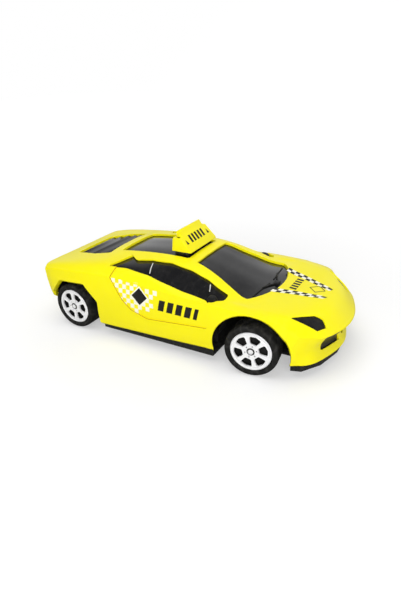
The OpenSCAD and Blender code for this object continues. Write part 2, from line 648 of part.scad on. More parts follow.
module switch_case() {
    color([0.75, 0.75, 0.75]) difference() {
        block(switch_x, switch_y, floor_top, switch_length, switch_width, switch_h);
        block(switch_x, switch_y, floor_top - cut_overrun, slider_w + slider_travel + 2 * lay_gap,
            slider_w + 2 * lay_gap, switch_h / 2 + cut_overrun);
    }
}

module switch_slider() {
    color([0.1, 0.1, 0.1]) block(switch_x - slider_travel / 2, switch_y, floor_clearance + lay_gap,
        slider_w, slider_w, floor_t + switch_h / 2 - 2 * lay_gap);
}

// Steering

module steered(side) {
    translate([front_x, side * kingpin_y, 0]) rotate([0, 0, parked_steer])
        translate([-front_x, -side * kingpin_y, 0]) children();
}

module steering_servo() {
    color([0.12, 0.12, 0.13]) {
        block(lever_x, 0, servo_low, servo_length, servo_width, servo_top - servo_low);
        post(lever_x, 0, servo_low, arm_z + arm_t, axle_r);
    }
}

module steering_lever() {
    color([0.85, 0.85, 0.82]) translate([lever_x, 0, 0]) rotate([0, 0, -parked_steer])
        difference() {
            union() {
                post(0, 0, arm_z, arm_z + arm_t, knuckle_r);
                block(-steer_arm / 2, 0, arm_z, steer_arm, arm_w, arm_t);
                post(-steer_arm, 0, arm_z, arm_z + arm_t, arm_w / 2);
                post(-steer_arm, 0, arm_z, peg_top, peg_r);
            }
            post(0, 0, arm_z - cut_overrun, arm_z + arm_t + cut_overrun, axle_r + turn_clearance);
        }
}

module slot(x, y, z_low, z_high) {
    reach = 0.08 * steer_arm;
    block(x, y, z_low, 2 * reach, 2 * (peg_r + lay_gap), z_high - z_low);
    for (end = [-1, 1]) post(x + end * reach, y, z_low, z_high, peg_r + lay_gap);
}

module tie_rod() {
    rod_x = front_x + steer_arm;
    color([0.85, 0.85, 0.82]) translate([0, steer_arm * sin(parked_steer), 0]) difference() {
        union() {
            block(rod_x, 0, rod_z, arm_w, 2 * kingpin_y, rod_t);
            for (y = [-kingpin_y, 0, kingpin_y])
                block(rod_x, y, rod_z, 2 * arm_w, 1.5 * arm_w, rod_t);
        }
        for (y = [-kingpin_y, 0, kingpin_y])
            slot(rod_x, y, rod_z - cut_overrun, rod_z + rod_t + cut_overrun);
    }
}

module steering_bridge() {
    color([0.1, 0.1, 0.1]) difference() {
        union() {
            block(front_x, 0, bridge_z, 3 * axle_d, 2 * kingpin_y, bridge_t);
            for (side = [right, left]) post(front_x, side * kingpin_y, bridge_z, bridge_z + bridge_t,
                knuckle_r);
        }
        for (side = [right, left]) {
            post(front_x, side * kingpin_y, bridge_z - cut_overrun,
                bridge_z + bridge_t + cut_overrun, kingpin_r + turn_clearance);
            post(front_x, side * bridge_post_y, bridge_z - cut_overrun,
                bridge_z + bridge_t + cut_overrun, screw_r + lay_gap / 2);
        }
    }
}

pin_low = 1.4 * kingpin_r;
pin_boss = 5.5 / 14 * tyre_w - lay_gap;
module knuckle(side) {
    color([0.12, 0.12, 0.12]) steered(side) difference() {
        union() {
            post(front_x, side * kingpin_y, knuckle_low, knuckle_top, knuckle_r);
            translate([front_x, side * kingpin_y, axle_z]) rotate([-side * 90, 0, 0])
                cylinder(h = pin_boss, r = 0.8 * knuckle_r);
            block(front_x + steer_arm / 2, side * kingpin_y, arm_z, steer_arm, arm_w, arm_t);
            post(front_x + steer_arm, side * kingpin_y, arm_z, arm_z + arm_t, arm_w / 2);
            post(front_x + steer_arm, side * kingpin_y, arm_z, peg_top, peg_r);
        }
        post(front_x, side * kingpin_y, knuckle_low - cut_overrun, knuckle_top + cut_overrun,
            kingpin_r + turn_clearance);
        translate([front_x, side * (kingpin_y + pin_low), axle_z]) rotate([-side * 90, 0, 0])
            cylinder(h = tyre_w, r = axle_r + turn_clearance / 2);
    }
}
module knuckle_right() { knuckle(right); }
module knuckle_left() { knuckle(left); }

// Wheels: drawn on their own axis from the inner face of the tyre outward

rim_r = rim_d / 2;
tyre_r = tyre_d / 2;
hub_r = 0.33 * rim_r;
hub_low = 0.06 * tyre_w;
hub_high = 0.8 * tyre_w;
drum_high = 0.88 * tyre_w;
drum_wall = 0.11 * rim_r;
pin_head_r = 1.5 * axle_r;
pin_head_h = 0.05 * tyre_w;

module on_axle(x, side) {
    translate([x, side * tyre_inner_y, axle_z]) rotate([-side * 90, 0, 0]) children();
}

module stub_axle(side) {
    color([0.75, 0.75, 0.77]) steered(side) on_axle(front_x, side) {
        start = kingpin_y + pin_low - tyre_inner_y;
        translate([0, 0, start]) cylinder(h = hub_high + lay_gap - start, r = axle_r);
        translate([0, 0, hub_high + lay_gap]) cylinder(h = pin_head_h, r = pin_head_r);
    }
}
module stub_axle_right() { stub_axle(right); }
module stub_axle_left() { stub_axle(left); }

module tyre() {
    h = tyre_r - rim_r;
    inner = rim_r + turn_clearance / 2;
    color([0.03, 0.03, 0.03]) rotate_extrude($fn = 64) polygon([
        [inner, 0.06 * tyre_w], [rim_r + 0.3 * h, 0.01 * tyre_w], [rim_r + 0.55 * h, 0],
        [tyre_r - 0.14 * h, 0.05 * tyre_w], [tyre_r - 0.03 * h, 0.14 * tyre_w], [tyre_r, 0.22 * tyre_w],
        [tyre_r, 0.36 * tyre_w], [tyre_r - 0.12 * h, 0.38 * tyre_w], [tyre_r - 0.12 * h, 0.42 * tyre_w],
        [tyre_r, 0.44 * tyre_w], [tyre_r, 0.56 * tyre_w], [tyre_r - 0.12 * h, 0.58 * tyre_w],
        [tyre_r - 0.12 * h, 0.62 * tyre_w], [tyre_r, 0.64 * tyre_w],
        [tyre_r, 0.78 * tyre_w], [tyre_r - 0.03 * h, 0.86 * tyre_w], [tyre_r - 0.14 * h, 0.95 * tyre_w],
        [rim_r + 0.55 * h, tyre_w], [rim_r + 0.3 * h, 0.99 * tyre_w], [inner, 0.94 * tyre_w]
    ]);
}
module tyre_front_right() { steered(right) on_axle(front_x, right) tyre(); }
module tyre_front_left() { steered(left) on_axle(front_x, left) tyre(); }
module tyre_rear_right() { on_axle(rear_x, right) tyre(); }
module tyre_rear_left() { on_axle(rear_x, left) tyre(); }

module wheel(bore_gap) {
    color([0.05, 0.05, 0.05]) difference() {
        union() {
            translate([0, 0, hub_low]) cylinder(h = hub_high - hub_low, r = hub_r);
            translate([0, 0, 0.55 * tyre_w]) cylinder(h = 0.1 * tyre_w, r = rim_r - drum_wall / 2);
            translate([0, 0, hub_low]) difference() {
                cylinder(h = drum_high - hub_low, r = rim_r);
                translate([0, 0, -cut_overrun])
                    cylinder(h = drum_high - hub_low + 2 * cut_overrun, r = rim_r - drum_wall);
            }
        }
        translate([0, 0, -cut_overrun]) cylinder(h = tyre_w, r = axle_r + bore_gap);
    }
}
module wheel_front_right() { steered(right) on_axle(front_x, right) wheel(turn_clearance); }
module wheel_front_left() { steered(left) on_axle(front_x, left) wheel(turn_clearance); }
module wheel_rear_right() { on_axle(rear_x, right) wheel(turn_clearance / 4); }
module wheel_rear_left() { on_axle(rear_x, left) wheel(turn_clearance / 4); }

window_in = 0.42 * rim_r;
window_out = 0.8 * rim_r;
window_corner = 0.06 * rim_r;
module rim() {
    face = 0.97 * tyre_w;
    color([0.86, 0.87, 0.88]) difference() {
        union() {
            translate([0, 0, drum_high]) cylinder(h = face - 0.02 * tyre_w - drum_high, r = rim_r);
            translate([0, 0, drum_high]) cylinder(h = face - drum_high, r = 0.93 * rim_r);
            translate([0, 0, hub_high]) cylinder(h = face - hub_high, r = hub_r);
        }
        for (k = [0 : rim_windows - 1]) rotate([0, 0, (k + 0.5) * 360 / rim_windows])
            hull() for (y = [-1, 1]) {
                wide_in = window_in * tan(180 / rim_windows) - 0.1 * rim_r;
                wide_out = window_out * tan(180 / rim_windows) - 0.17 * rim_r;
                translate([window_in, y * wide_in, hub_high]) cylinder(h = tyre_w, r = window_corner,
                    $fn = 16);
                translate([window_out, y * wide_out, hub_high]) cylinder(h = tyre_w,
                    r = 2 * window_corner, $fn = 16);
            }
        translate([0, 0, hub_high - cut_overrun])
            cylinder(h = cut_overrun + pin_head_h + 3 * lay_gap, r = pin_head_r + lay_gap);
    }
}
module rim_front_right() { steered(right) on_axle(front_x, right) rim(); }
module rim_front_left() { steered(left) on_axle(front_x, left) rim(); }
module rim_rear_right() { on_axle(rear_x, right) rim(); }
module rim_rear_left() { on_axle(rear_x, left) rim(); }

// Drive train

module rear_axle() {
    reach = tyre_inner_y + hub_high - lay_gap;
    color([0.72, 0.72, 0.74]) bar(rear_x, axle_z, -reach, reach, axle_r);
}

module gear(teeth, width, first_tooth) {
    pitch_r = gear_module * teeth / 2;
    step = 360 / teeth;
    linear_extrude(width) polygon([for (k = [0 : teeth - 1]) for (corner = [
        [-0.3, pitch_r - 1.15 * gear_module], [-0.13, pitch_r + 0.85 * gear_module],
        [0.13, pitch_r + 0.85 * gear_module], [0.3, pitch_r - 1.15 * gear_module]])
        let (a = first_tooth + (k + corner[0]) * step) [corner[1] * cos(a), corner[1] * sin(a)]]);
}

module gear_on(x, y_low, y_high, teeth, first_tooth) {
    translate([x, y_high, axle_z]) rotate([90, 0, 0]) gear(teeth, y_high - y_low, first_tooth);
}

module axle_gear() {
    color([0.85, 0.83, 0.75]) difference() {
        gear_on(rear_x, axle_gear_low, axle_gear_low + gear_w, big_teeth, 0);
        bar(rear_x, axle_z, axle_gear_low - cut_overrun, axle_gear_low + gear_w + cut_overrun,
            axle_r + turn_clearance / 4);
    }
}

module gear_shaft() {
    color([0.72, 0.72, 0.74]) bar(idler_x, axle_z, box_divide_y + lay_gap, box_left - lay_gap, idler_r);
}

module compound_gear() {
    color([0.85, 0.83, 0.75]) difference() {
        union() {
            gear_on(idler_x, big_low, small_low, big_teeth, 0);
            gear_on(idler_x, small_low, small_high, small_teeth, 180 + 180 / small_teeth);
        }
        bar(idler_x, axle_z, big_low - cut_overrun, small_high + cut_overrun, idler_r + turn_clearance);
    }
}

module motor_shaft() {
    color([0.72, 0.72, 0.74]) bar(motor_x, axle_z, box_divide_y - 2 * idler_r, small_low, idler_r);
}

module motor_pinion() {
    color([0.8, 0.7, 0.35]) difference() {
        gear_on(motor_x, big_low, small_low, pinion_teeth, 180 + 180 / pinion_teeth);
        bar(motor_x, axle_z, big_low - cut_overrun, small_low + cut_overrun,
            idler_r + turn_clearance / 4);
    }
}

module drive_motor() {
    motor_low = box_divide_y - gear_gap - motor_length;
    motor_high = box_divide_y - gear_gap;
    color([0.7, 0.71, 0.72]) difference() {
        intersection() {
            bar(motor_x, axle_z, motor_low, motor_high, motor_w / 2);
            block(motor_x, (motor_low + motor_high) / 2, axle_z - motor_h / 2, motor_w,
                motor_length + cut_overrun, motor_h);
        }
        bar(motor_x, axle_z, motor_high - 3 * idler_r, motor_high + cut_overrun,
            idler_r + turn_clearance);
    }
}

module gearbox_bores() {
    bar(rear_x, axle_z, box_right - cut_overrun, box_left + cut_overrun, axle_r + turn_clearance);
    bar(idler_x, axle_z, box_divide_y - cut_overrun, box_left + cut_overrun,
        idler_r + turn_clearance / 4);
    bar(motor_x, axle_z, box_divide_y - cut_overrun, chamber_low + cut_overrun, 2 * idler_r);
}

module gearbox_room(z_low, z_high) {
    x = (box_back + box_front) / 2;
    length = box_front - box_back - 2 * rib_t;
    block(x, (box_right + rib_t + box_divide_y) / 2, z_low, length, box_divide_y - box_right - rib_t,
        z_high - z_low);
    block(x, (chamber_low + chamber_high) / 2, z_low, length, chamber_high - chamber_low, z_high - z_low);
}

module gearbox_case() {
    x = (box_back + box_front) / 2;
    motor_mid = box_divide_y - gear_gap - motor_length / 2;
    color([0.16, 0.16, 0.17]) difference() {
        union() {
            difference() {
                union() {
                    block(x, (box_right + box_left) / 2, floor_top, box_front - box_back,
                        box_left - box_right, axle_z - floor_top);
                    for (p = ear_places) post(p.x, p.y, floor_top, axle_z, ear_r);
                }
                gearbox_room(floor_top + rib_t, axle_z + cut_overrun);
            }
            for (end = [-1, 1]) block(motor_x, motor_mid + end * 0.35 * motor_length, floor_top,
                0.5 * motor_w, rib_t,
                axle_z - motor_h / 2 - floor_top);
        }
        gearbox_bores();
        for (p = ear_places) post(p.x, p.y, floor_top + rib_t, axle_z + cut_overrun,
            screw_r + lay_gap / 2);
    }
}

module gearbox_lid() {
    x = (box_back + box_front) / 2;
    color([0.16, 0.16, 0.17]) difference() {
        union() {
            block(x, (box_right + box_left) / 2, axle_z, box_front - box_back, box_left - box_right,
                box_top - axle_z);
            for (p = ear_places) post(p.x, p.y, axle_z, axle_z + ear_t, ear_r);
        }
        gearbox_room(axle_z - cut_overrun, box_top - rib_t);
        gearbox_bores();
        for (p = ear_places) {
            post(p.x, p.y, axle_z - cut_overrun, axle_z + ear_t + cut_overrun, screw_r + lay_gap / 2);
            post(p.x, p.y, axle_z + ear_t, box_top + cut_overrun, screw_head_r + lay_gap);
        }
    }
}

// Screws: head seat at a height, shank reaching up or down

module screw(x, y, seat, head_way, head_h, shank) {
    translate([x, y, seat]) rotate([head_way > 0 ? 0 : 180, 0, 0]) {
        cylinder(h = head_h, r = screw_head_r);
        translate([0, 0, -shank]) cylinder(h = shank + head_h / 2, r = screw_r);
    }
}

module gearbox_screws() {
    color([0.6, 0.6, 0.62]) for (p = ear_places) screw(p.x, p.y, axle_z + ear_t, 1, screw_head_h, 3 * axle_d);
}

module body_screws() {
    color([0.6, 0.6, 0.62]) for (p = boss_places)
        screw(p.x, p.y, floor_clearance + screw_head_h + lay_gap, -1, screw_head_h,
            3 * axle_d);
}

module bridge_screws() {
    color([0.6, 0.6, 0.62]) for (side = [right, left])
        screw(front_x, side * bridge_post_y, bridge_z + bridge_t, 1, screw_head_h, 2.4 * axle_d);
}

module door_screw() {
    color([0.6, 0.6, 0.62]) screw(tongue_x, 0, floor_clearance + door_head_h + lay_gap / 2, -1,
        door_head_h, 1.6 * axle_d);
}

body_shell();
window_canopy();
engine_cover();
headlamp_right();
headlamp_left();
front_grille_right();
front_grille_left();
tail_lamp_right();
tail_lamp_left();
roof_sign();
chassis();
battery_door();
battery_cells();
battery_contacts();
receiver_board();
board_chips();
switch_case();
switch_slider();
steering_servo();
steering_lever();
tie_rod();
steering_bridge();
knuckle_right();
knuckle_left();
stub_axle_right();
stub_axle_left();
tyre_front_right();
tyre_front_left();
tyre_rear_right();
tyre_rear_left();
wheel_front_right();
wheel_front_left();
wheel_rear_right();
wheel_rear_left();
rim_front_right();
rim_front_left();
rim_rear_right();
rim_rear_left();
rear_axle();
axle_gear();
gear_shaft();
compound_gear();
motor_pinion();
motor_shaft();
drive_motor();
gearbox_case();
gearbox_lid();
gearbox_screws();
body_screws();
bridge_screws();
door_screw();
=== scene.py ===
import json
import math

import bmesh
import bpy
import numpy as np
from mathutils import Matrix, Vector

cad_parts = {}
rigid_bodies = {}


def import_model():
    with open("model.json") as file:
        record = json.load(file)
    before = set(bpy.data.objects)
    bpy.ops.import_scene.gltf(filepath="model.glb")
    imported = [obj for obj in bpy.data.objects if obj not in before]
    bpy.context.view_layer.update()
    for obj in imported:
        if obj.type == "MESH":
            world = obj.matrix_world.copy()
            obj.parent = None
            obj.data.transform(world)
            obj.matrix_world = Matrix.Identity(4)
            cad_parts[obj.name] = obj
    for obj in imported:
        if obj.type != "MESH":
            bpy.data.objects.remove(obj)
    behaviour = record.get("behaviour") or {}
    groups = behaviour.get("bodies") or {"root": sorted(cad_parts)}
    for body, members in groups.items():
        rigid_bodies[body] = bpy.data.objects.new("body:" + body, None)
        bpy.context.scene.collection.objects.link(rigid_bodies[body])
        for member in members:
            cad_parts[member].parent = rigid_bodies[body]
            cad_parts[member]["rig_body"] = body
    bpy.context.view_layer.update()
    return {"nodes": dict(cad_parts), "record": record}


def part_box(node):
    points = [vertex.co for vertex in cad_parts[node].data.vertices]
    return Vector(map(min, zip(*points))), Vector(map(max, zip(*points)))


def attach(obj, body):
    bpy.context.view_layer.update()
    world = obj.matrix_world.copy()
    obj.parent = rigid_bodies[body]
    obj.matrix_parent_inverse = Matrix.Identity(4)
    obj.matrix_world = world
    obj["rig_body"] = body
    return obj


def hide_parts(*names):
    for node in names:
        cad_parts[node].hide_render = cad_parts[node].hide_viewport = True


bl_info = {
    "name": "Toy taxi",
    "version": (1, 0, 0),
    "blender": (4, 5, 0),
    "location": "3D View > Sidebar > Toy taxi",
    "description": "Dresses the toy taxi's solids: shell, glazing, wheels, prints, finishes and stage",
    "category": "Object",
}

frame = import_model()
NODES = frame["nodes"]
MM = 0.001

# Feature lines of the body, from the middle of the roof down to the sill, in thousandths of half length,
# half width and height. A row is one line from tail to nose.
LINES_X = [
    [-937, -980, -1000, -873, -726, -579, -462, -286, -90, 105, 271, 428, 575, 731, 888, 1000, 936, 966],
    [-936, -980, -1000, -873, -726, -579, -462, -286, -90, 105, 271, 428, 575, 731, 883, 985, 925, 946],
    [-933, -976, -995, -873, -726, -579, -462, -286, -90, 105, 271, 428, 575, 731, 853, 932, 888, 897],
    [-927, -964, -980, -873, -726, -579, -462, -286, -90, 105, 271, 428, 575, 731, 814, 874, 848, 853],
    [-917, -947, -961, -873, -726, -579, -462, -286, -90, 105, 271, 428, 575, 731, 785, 818, 807, 800],
    [-905, -934, -944, -873, -726, -579, -462, -286, -90, 105, 271, 428, 575, 721, 765, 792, 784, 778],
    [-892, -912, -920, -863, -726, -579, -462, -286, -90, 105, 271, 428, 575, 711, 746, 766, 760, 756],
    [-879, -875, -869, -844, -726, -579, -462, -286, -90, 105, 271, 428, 575, 692, 717, 731, 734, 736],
]
LINES_Y = [
    [0, 0, 0, 0, 0, 0, 0, 0, 0, 0, 0, 0, 0, 0, 0, 0, 0, 0],
    [255, 255, 255, 255, 255, 255, 255, 255, 277, 255, 255, 277, 298, 277, 255, 277, 277, 277],
    [553, 553, 553, 553, 553, 553, 553, 553, 553, 521, 606, 681, 702, 681, 596, 596, 596, 596],
    [766, 787, 809, 809, 809, 798, 787, 798, 840, 862, 855, 826, 840, 815, 745, 745, 745, 745],
    [872, 915, 926, 947, 962, 957, 947, 943, 947, 947, 947, 953, 949, 919, 868, 853, 847, 819],
    [900, 932, 943, 979, 1000, 1000, 989, 979, 979, 979, 979, 985, 985, 953, 906, 881, 870, 851],
    [921, 940, 949, 979, 996, 996, 989, 983, 983, 983, 983, 987, 987, 962, 932, 906, 896, 877],
    [940, 947, 953, 962, 968, 968, 968, 968, 968, 968, 968, 968, 968, 945, 932, 919, 911, 900],
]
LINES_Z = [
    [309, 527, 745, 804, 860, 913, 953, 989, 1000, 967, 873, 785, 716, 696, 649, 436, 273, 155],
    [309, 527, 745, 802, 858, 909, 949, 984, 993, 964, 869, 778, 716, 696, 646, 445, 282, 155],
    [309, 527, 751, 796, 845, 887, 920, 945, 956, 938, 836, 731, 716, 695, 629, 465, 327, 164],
    [309, 536, 755, 793, 829, 858, 878, 898, 865, 785, 745, 727, 713, 680, 612, 500, 327, 173],
    [309, 527, 718, 749, 773, 785, 791, 791, 767, 738, 720, 709, 695, 651, 587, 527, 327, 178],
    [302, 445, 564, 582, 600, 600, 591, 582, 573, 564, 555, 545, 536, 509, 473, 400, 273, 180],
    [291, 355, 409, 400, 400, 364, 345, 327, 327, 327, 336, 336, 336, 318, 300, 264, 218, 181],
    [278, 276, 273, 255, 200, 164, 164, 173, 182, 193, 204, 200, 191, 182, 182, 182, 182, 182],
]
FEATURE_LINES = np.stack([LINES_X, LINES_Y, LINES_Z], -1) / 1000

# Outlines of the openings as shares of half length, half width and height
WINDSCREEN_SHARES = [
    [0.107, 0.415], [0.233, 0.451], [0.369, 0.543], [0.452, 0.613], [0.48, 0.62], [0.511, 0.54],
    [0.545, 0.406], [0.572, 0.2], [0.578, 0.05],
]
SIDE_WINDOW_SHARES = [
    [-0.445, 0.877], [-0.299, 0.902], [-0.116, 0.877], [0.117, 0.783], [0.279, 0.741], [0.336, 0.738],
    [0.391, 0.742], [0.327, 0.786], [0.225, 0.857], [0.113, 0.915], [-0.036, 0.952], [-0.178, 0.949],
    [-0.282, 0.933], [-0.347, 0.941],
]
DOOR_SHARES = [
    [-0.387, 0.8], [-0.352, 0.705], [-0.288, 0.54], [-0.231, 0.447], [-0.112, 0.38], [0.31, 0.447],
    [0.298, 0.96], [-0.36, 0.96],
]
REAR_ARCH_SHARES = [
    [-0.94, 0.11], [-0.907, 0.436], [-0.812, 0.627], [-0.6, 0.65], [-0.5, 0.45], [-0.511, 0.11],
]
CANOPY_EDGE_SHARES = [
    [-0.53, 0.82], [-0.3, 0.85], [-0.09, 0.81], [0.117, 0.735], [0.391, 0.695], [0.6, 0.68], [0.6, 1.1],
    [-0.53, 1.1],
]
HEADLAMP_SHARES = [
    [0.75, 0.764, 0.678], [0.853, 0.511, 0.64], [0.892, 0.466, 0.591], [0.918, 0.5, 0.525],
    [0.885, 0.64, 0.53],
]
GRILLE_SHARES = [
    [0.947, 0.07, 0.2145], [0.899, 0.519, 0.262], [0.925, 0.587, 0.4545], [0.981, 0.277, 0.422],
    [0.991, 0.07, 0.418],
]
TAIL_LAMP_SHARES = [
    [-0.985, 0.4, 0.65], [-0.965, 0.8, 0.65], [-0.955, 0.76, 0.55], [-0.975, 0.44, 0.55],
]
ROOF_PANEL_SHARES = [[0.025, 0.379], [-0.227, 0.383], [-0.462, 0.383]]
LOUVRE_SHARES = [[-0.565, 0.457], [-0.697, 0.479], [-0.863, 0.383]]
# Radii of the outlines' corners
WINDSCREEN_ROUNDS = np.array([1.2, 60, 60, 4, 1.6, 40, 40, 40, 40, 40, 40, 40, 40, 1.6, 4, 60, 60, 1.2]) * MM
WINDOW_ROUNDS = np.array([0.4, 40, 40, 40, 30, 30, 0.6, 40, 40, 40, 40, 30, 1.0, 0.6]) * MM
DOOR_ROUND, ARCH_ROUND, LAMP_ROUND = 2 * MM, 2.5 * MM, 0.7 * MM
CORNER_STEPS = 6
# An opening cuts only above this share of the roof's height, or further out than this share of the width
DECK_LEVEL, POD_LEVEL, ROOF_LEVEL = 0.6, 0.7, 0.8
FLANK_FROM, ARCH_FROM, DOOR_FROM = 0.25, 0.31, 0.35
LAMP_DEPTH_IN_WALLS = 6
ARCH_X, ARCH_R, ARCH_STRETCH, AXLE_Z = 57.326 * MM, 21.76 * MM, 1.06, 16 * MM
MIRROR_PLACE = np.array([31.2, 38.7, 41.0]) * MM
MIRROR_R, MIRROR_HEIGHT, MIRROR_GAP = 3.3 * MM, 3.7 * MM, 0.2 * MM
CANOPY_INSET = 1.6 * MM
BELT_SHARE = 0.72
# Knots between which the skin is smooth, and its last places along and around
LENGTH_RUNS = [[0, 2], [2, 12], [12, 15], [15, 17]]
GIRTH_RUNS = [[0, 5], [5, 8]]
NOSE, SILL = 17, 7
RIGHT, LEFT = -1, 1
SIDES = {RIGHT: "right", LEFT: "left"}
# FAR stands for every distance beyond it. The steps are those of differences on the skin and in space.
FAR = 6 * MM
UV_STEP, UV_REACH, NUDGE = 0.01, 0.3, 1e-5
HALVINGS = 14
WELD = 2e-3 * MM


# Forms of the body skin

def spline_weights(places, runs, count):
    """Weights of the knots for places along a line that is smooth within each run."""
    part = np.clip(np.floor(places).astype(int), 0, count - 2)
    t = places - part
    lift, drop = t**3 - 2 * t**2 + t, t**3 - t**2
    here, after = 2 * t**3 - 3 * t**2 + 1 - drop / 2, 3 * t**2 - 2 * t**3 + lift / 2
    before, beyond = -lift / 2, drop / 2
    first = np.array([max(r[0] for r in runs if r[0] <= k) for k in range(count - 1)])[part]
    last = np.array([min(r[1] for r in runs if r[1] > k) for k in range(count - 1)])[part]
    row, weights = np.arange(len(places)), np.zeros((len(places), count))
    starts, ends = part <= first, part + 2 > last
    np.add.at(weights, (row, part), here + np.where(starts, 2 * before, 0) - np.where(ends, beyond, 0))
    np.add.at(weights, (row, part + 1), after - np.where(starts, before, 0) + np.where(ends, 2 * beyond, 0))
    np.add.at(weights, (row, np.maximum(part - 1, 0)), np.where(starts, 0, before))
    np.add.at(weights, (row, np.minimum(part + 2, count - 1)), np.where(ends, 0, beyond))
    return weights


def body_sizes():
    return bpy.context.scene.taxi_body


def rise(share):
    """Height for a share: from the ground to the belt, and from the belt to the roof."""
    sizes = body_sizes()
    share = np.asarray(share, float)
    upper = sizes.belt + (share - BELT_SHARE) / (1 - BELT_SHARE) * (sizes.roof - sizes.belt)
    return np.where(share < BELT_SHARE, share / BELT_SHARE * sizes.belt, upper)


class Loft:
    """Skin of the body, drawn in by an inset. A place is [station from the tail, line from the middle]."""

    def __init__(self, inset):
        sizes = body_sizes()
        knots = np.stack([
            FEATURE_LINES[..., 0] * (sizes.length / 2 - inset),
            FEATURE_LINES[..., 1] * (sizes.width / 2 - inset),
            rise(FEATURE_LINES[..., 2]) - inset,
        ], -1)
        self.knots = np.concatenate([knots[1:2] * [1, -1, 1], knots])

    def at(self, uv):
        along = spline_weights(uv[:, 0], LENGTH_RUNS, NOSE + 1)
        around = spline_weights(np.abs(uv[:, 1]) + 1, GIRTH_RUNS, SILL + 2)
        rows = np.tensordot(along, self.knots, axes=(1, 1))
        places = np.einsum("nj,njk->nk", around, rows)
        places[:, 1] *= np.where(uv[:, 1] < 0, -1, 1)
        return places

    def slopes(self, uv, reach=0.5 * MM):
        """Directions along the two ways of the skin, taken over a reach that rounds the creases."""
        out = []
        for way in np.eye(2):
            span = self.at(uv + UV_STEP * way) - self.at(uv - UV_STEP * way)
            speed = np.linalg.norm(span, axis=1) / (2 * UV_STEP)
            step = np.clip(reach / np.maximum(speed, 1e-6), UV_STEP, UV_REACH)[:, None] * way
            out.append((self.at(uv + step) - self.at(uv - step)) / (2 * step.sum(1))[:, None])
        return out

    def normals(self, uv):
        lengthwise, around = self.slopes(uv)
        return unit(np.cross(lengthwise, around))

    def drape(self, places, side=0):
        """Skin places that show at the given places from above, or from one side of the car."""
        axes, depth = ([0, 2], 1) if side else ([0, 1], 2)
        u, v = np.meshgrid(np.linspace(2, 16.9, 150), np.linspace(-6.9, 6.9, 139), indexing="ij")
        seeds = np.stack([u.ravel(), v.ravel()], 1)
        if side:
            seeds = seeds[seeds[:, 1] * side > 0]
        seeds = seeds[self.normals(seeds)[:, depth] * (side or 1) > 0.2]
        flat = self.at(seeds)[:, axes]
        uv = np.array([seeds[np.argmin(((flat - p) ** 2).sum(1))] for p in places])
        small = 1e-3
        for _ in range(12):
            miss = self.at(uv)[:, axes] - places
            du, dv = ((self.at(uv + way) - self.at(uv - way))[:, axes] / (2 * small)
                      for way in small * np.eye(2))
            det = du[:, 0] * dv[:, 1] - du[:, 1] * dv[:, 0]
            det = np.where(np.abs(det) < 1e-9, 1e-9, det)
            step = np.stack([
                (miss[:, 0] * dv[:, 1] - miss[:, 1] * dv[:, 0]) / det,
                (du[:, 0] * miss[:, 1] - du[:, 1] * miss[:, 0]) / det,
            ], 1)
            uv = uv - np.clip(step, -UV_REACH, UV_REACH)
        return uv


def unit(vectors):
    return vectors / np.maximum(np.linalg.norm(vectors, axis=-1, keepdims=True), 1e-12)


def rounded(outline, radius):
    """Flat outline with its corners rounded."""
    points = np.asarray(outline, float)
    count, out = len(points), []
    radii = np.broadcast_to(radius, count)
    for k in range(count):
        corner, radius = points[k], float(radii[k])
        back, ahead = points[k - 1] - corner, points[(k + 1) % count] - corner
        reach_back, reach_ahead = np.linalg.norm(back), np.linalg.norm(ahead)
        back, ahead = back / reach_back, ahead / reach_ahead
        half = math.acos(float(np.clip(back @ ahead, -1, 1))) / 2
        cut = min(radius / max(math.tan(half), 1e-6), 0.45 * reach_back, 0.45 * reach_ahead)
        if half > 1.56 or cut < 1e-9:
            out.append(corner)
            continue
        start, end = corner + back * cut, corner + ahead * cut
        for t in np.linspace(0, 1, CORNER_STEPS):
            out.append((1 - t) ** 2 * start + 2 * t * (1 - t) * corner + t**2 * end)
    return np.array(out)


def outline_distance(places, outline):
    """Distance from an outline, below zero inside it."""
    low, high = outline.min(0) - FAR, outline.max(0) + FAR
    near = ((places > low) & (places < high)).all(1)
    out = np.full(len(places), FAR)
    p = places[near]
    if not len(p):
        return out
    best, inside = np.full(len(p), 1e9), np.zeros(len(p), bool)
    for a, b in zip(outline, np.roll(outline, -1, 0)):
        edge = b - a
        t = np.clip(((p - a) @ edge) / max(edge @ edge, 1e-18), 0, 1)
        best = np.minimum(best, np.linalg.norm(p - a - t[:, None] * edge, axis=1))
        crosses = (a[1] > p[:, 1]) != (b[1] > p[:, 1])
        rise_y = b[1] - a[1] if b[1] != a[1] else 1e-12
        inside ^= crosses & (p[:, 0] < a[0] + (p[:, 1] - a[1]) / rise_y * edge[0])
    out[near] = np.where(inside, -best, best)
    return out


def hull(points):
    """Outer outline of flat points."""
    points = sorted(map(tuple, points))
    chains = []
    for order in (points, points[::-1]):
        chain = []
        for p in order:
            while len(chain) > 1 and (
                (chain[-1][0] - chain[-2][0]) * (p[1] - chain[-2][1])
                - (chain[-1][1] - chain[-2][1]) * (p[0] - chain[-2][0])
            ) <= 0:
                chain.pop()
            chain.append(p)
        chains += chain[:-1]
    return np.array(chains)


def side_outline(shares):
    half = body_sizes().length / 2
    return np.array([[x * half, float(rise(z))] for x, z in shares])


def plan_outline(shares):
    sizes = body_sizes()
    one = np.array([[x * sizes.length / 2, y * sizes.width / 2] for x, y in shares])
    return np.concatenate([one, one[::-1] * [1, -1]])


def stretched(outline, reach):
    """Plan outline made longer at both ends by a reach."""
    middle = outline[:, 0].mean()
    return outline + np.stack([np.where(outline[:, 0] > middle, reach, -reach), 0 * outline[:, 0]], 1)


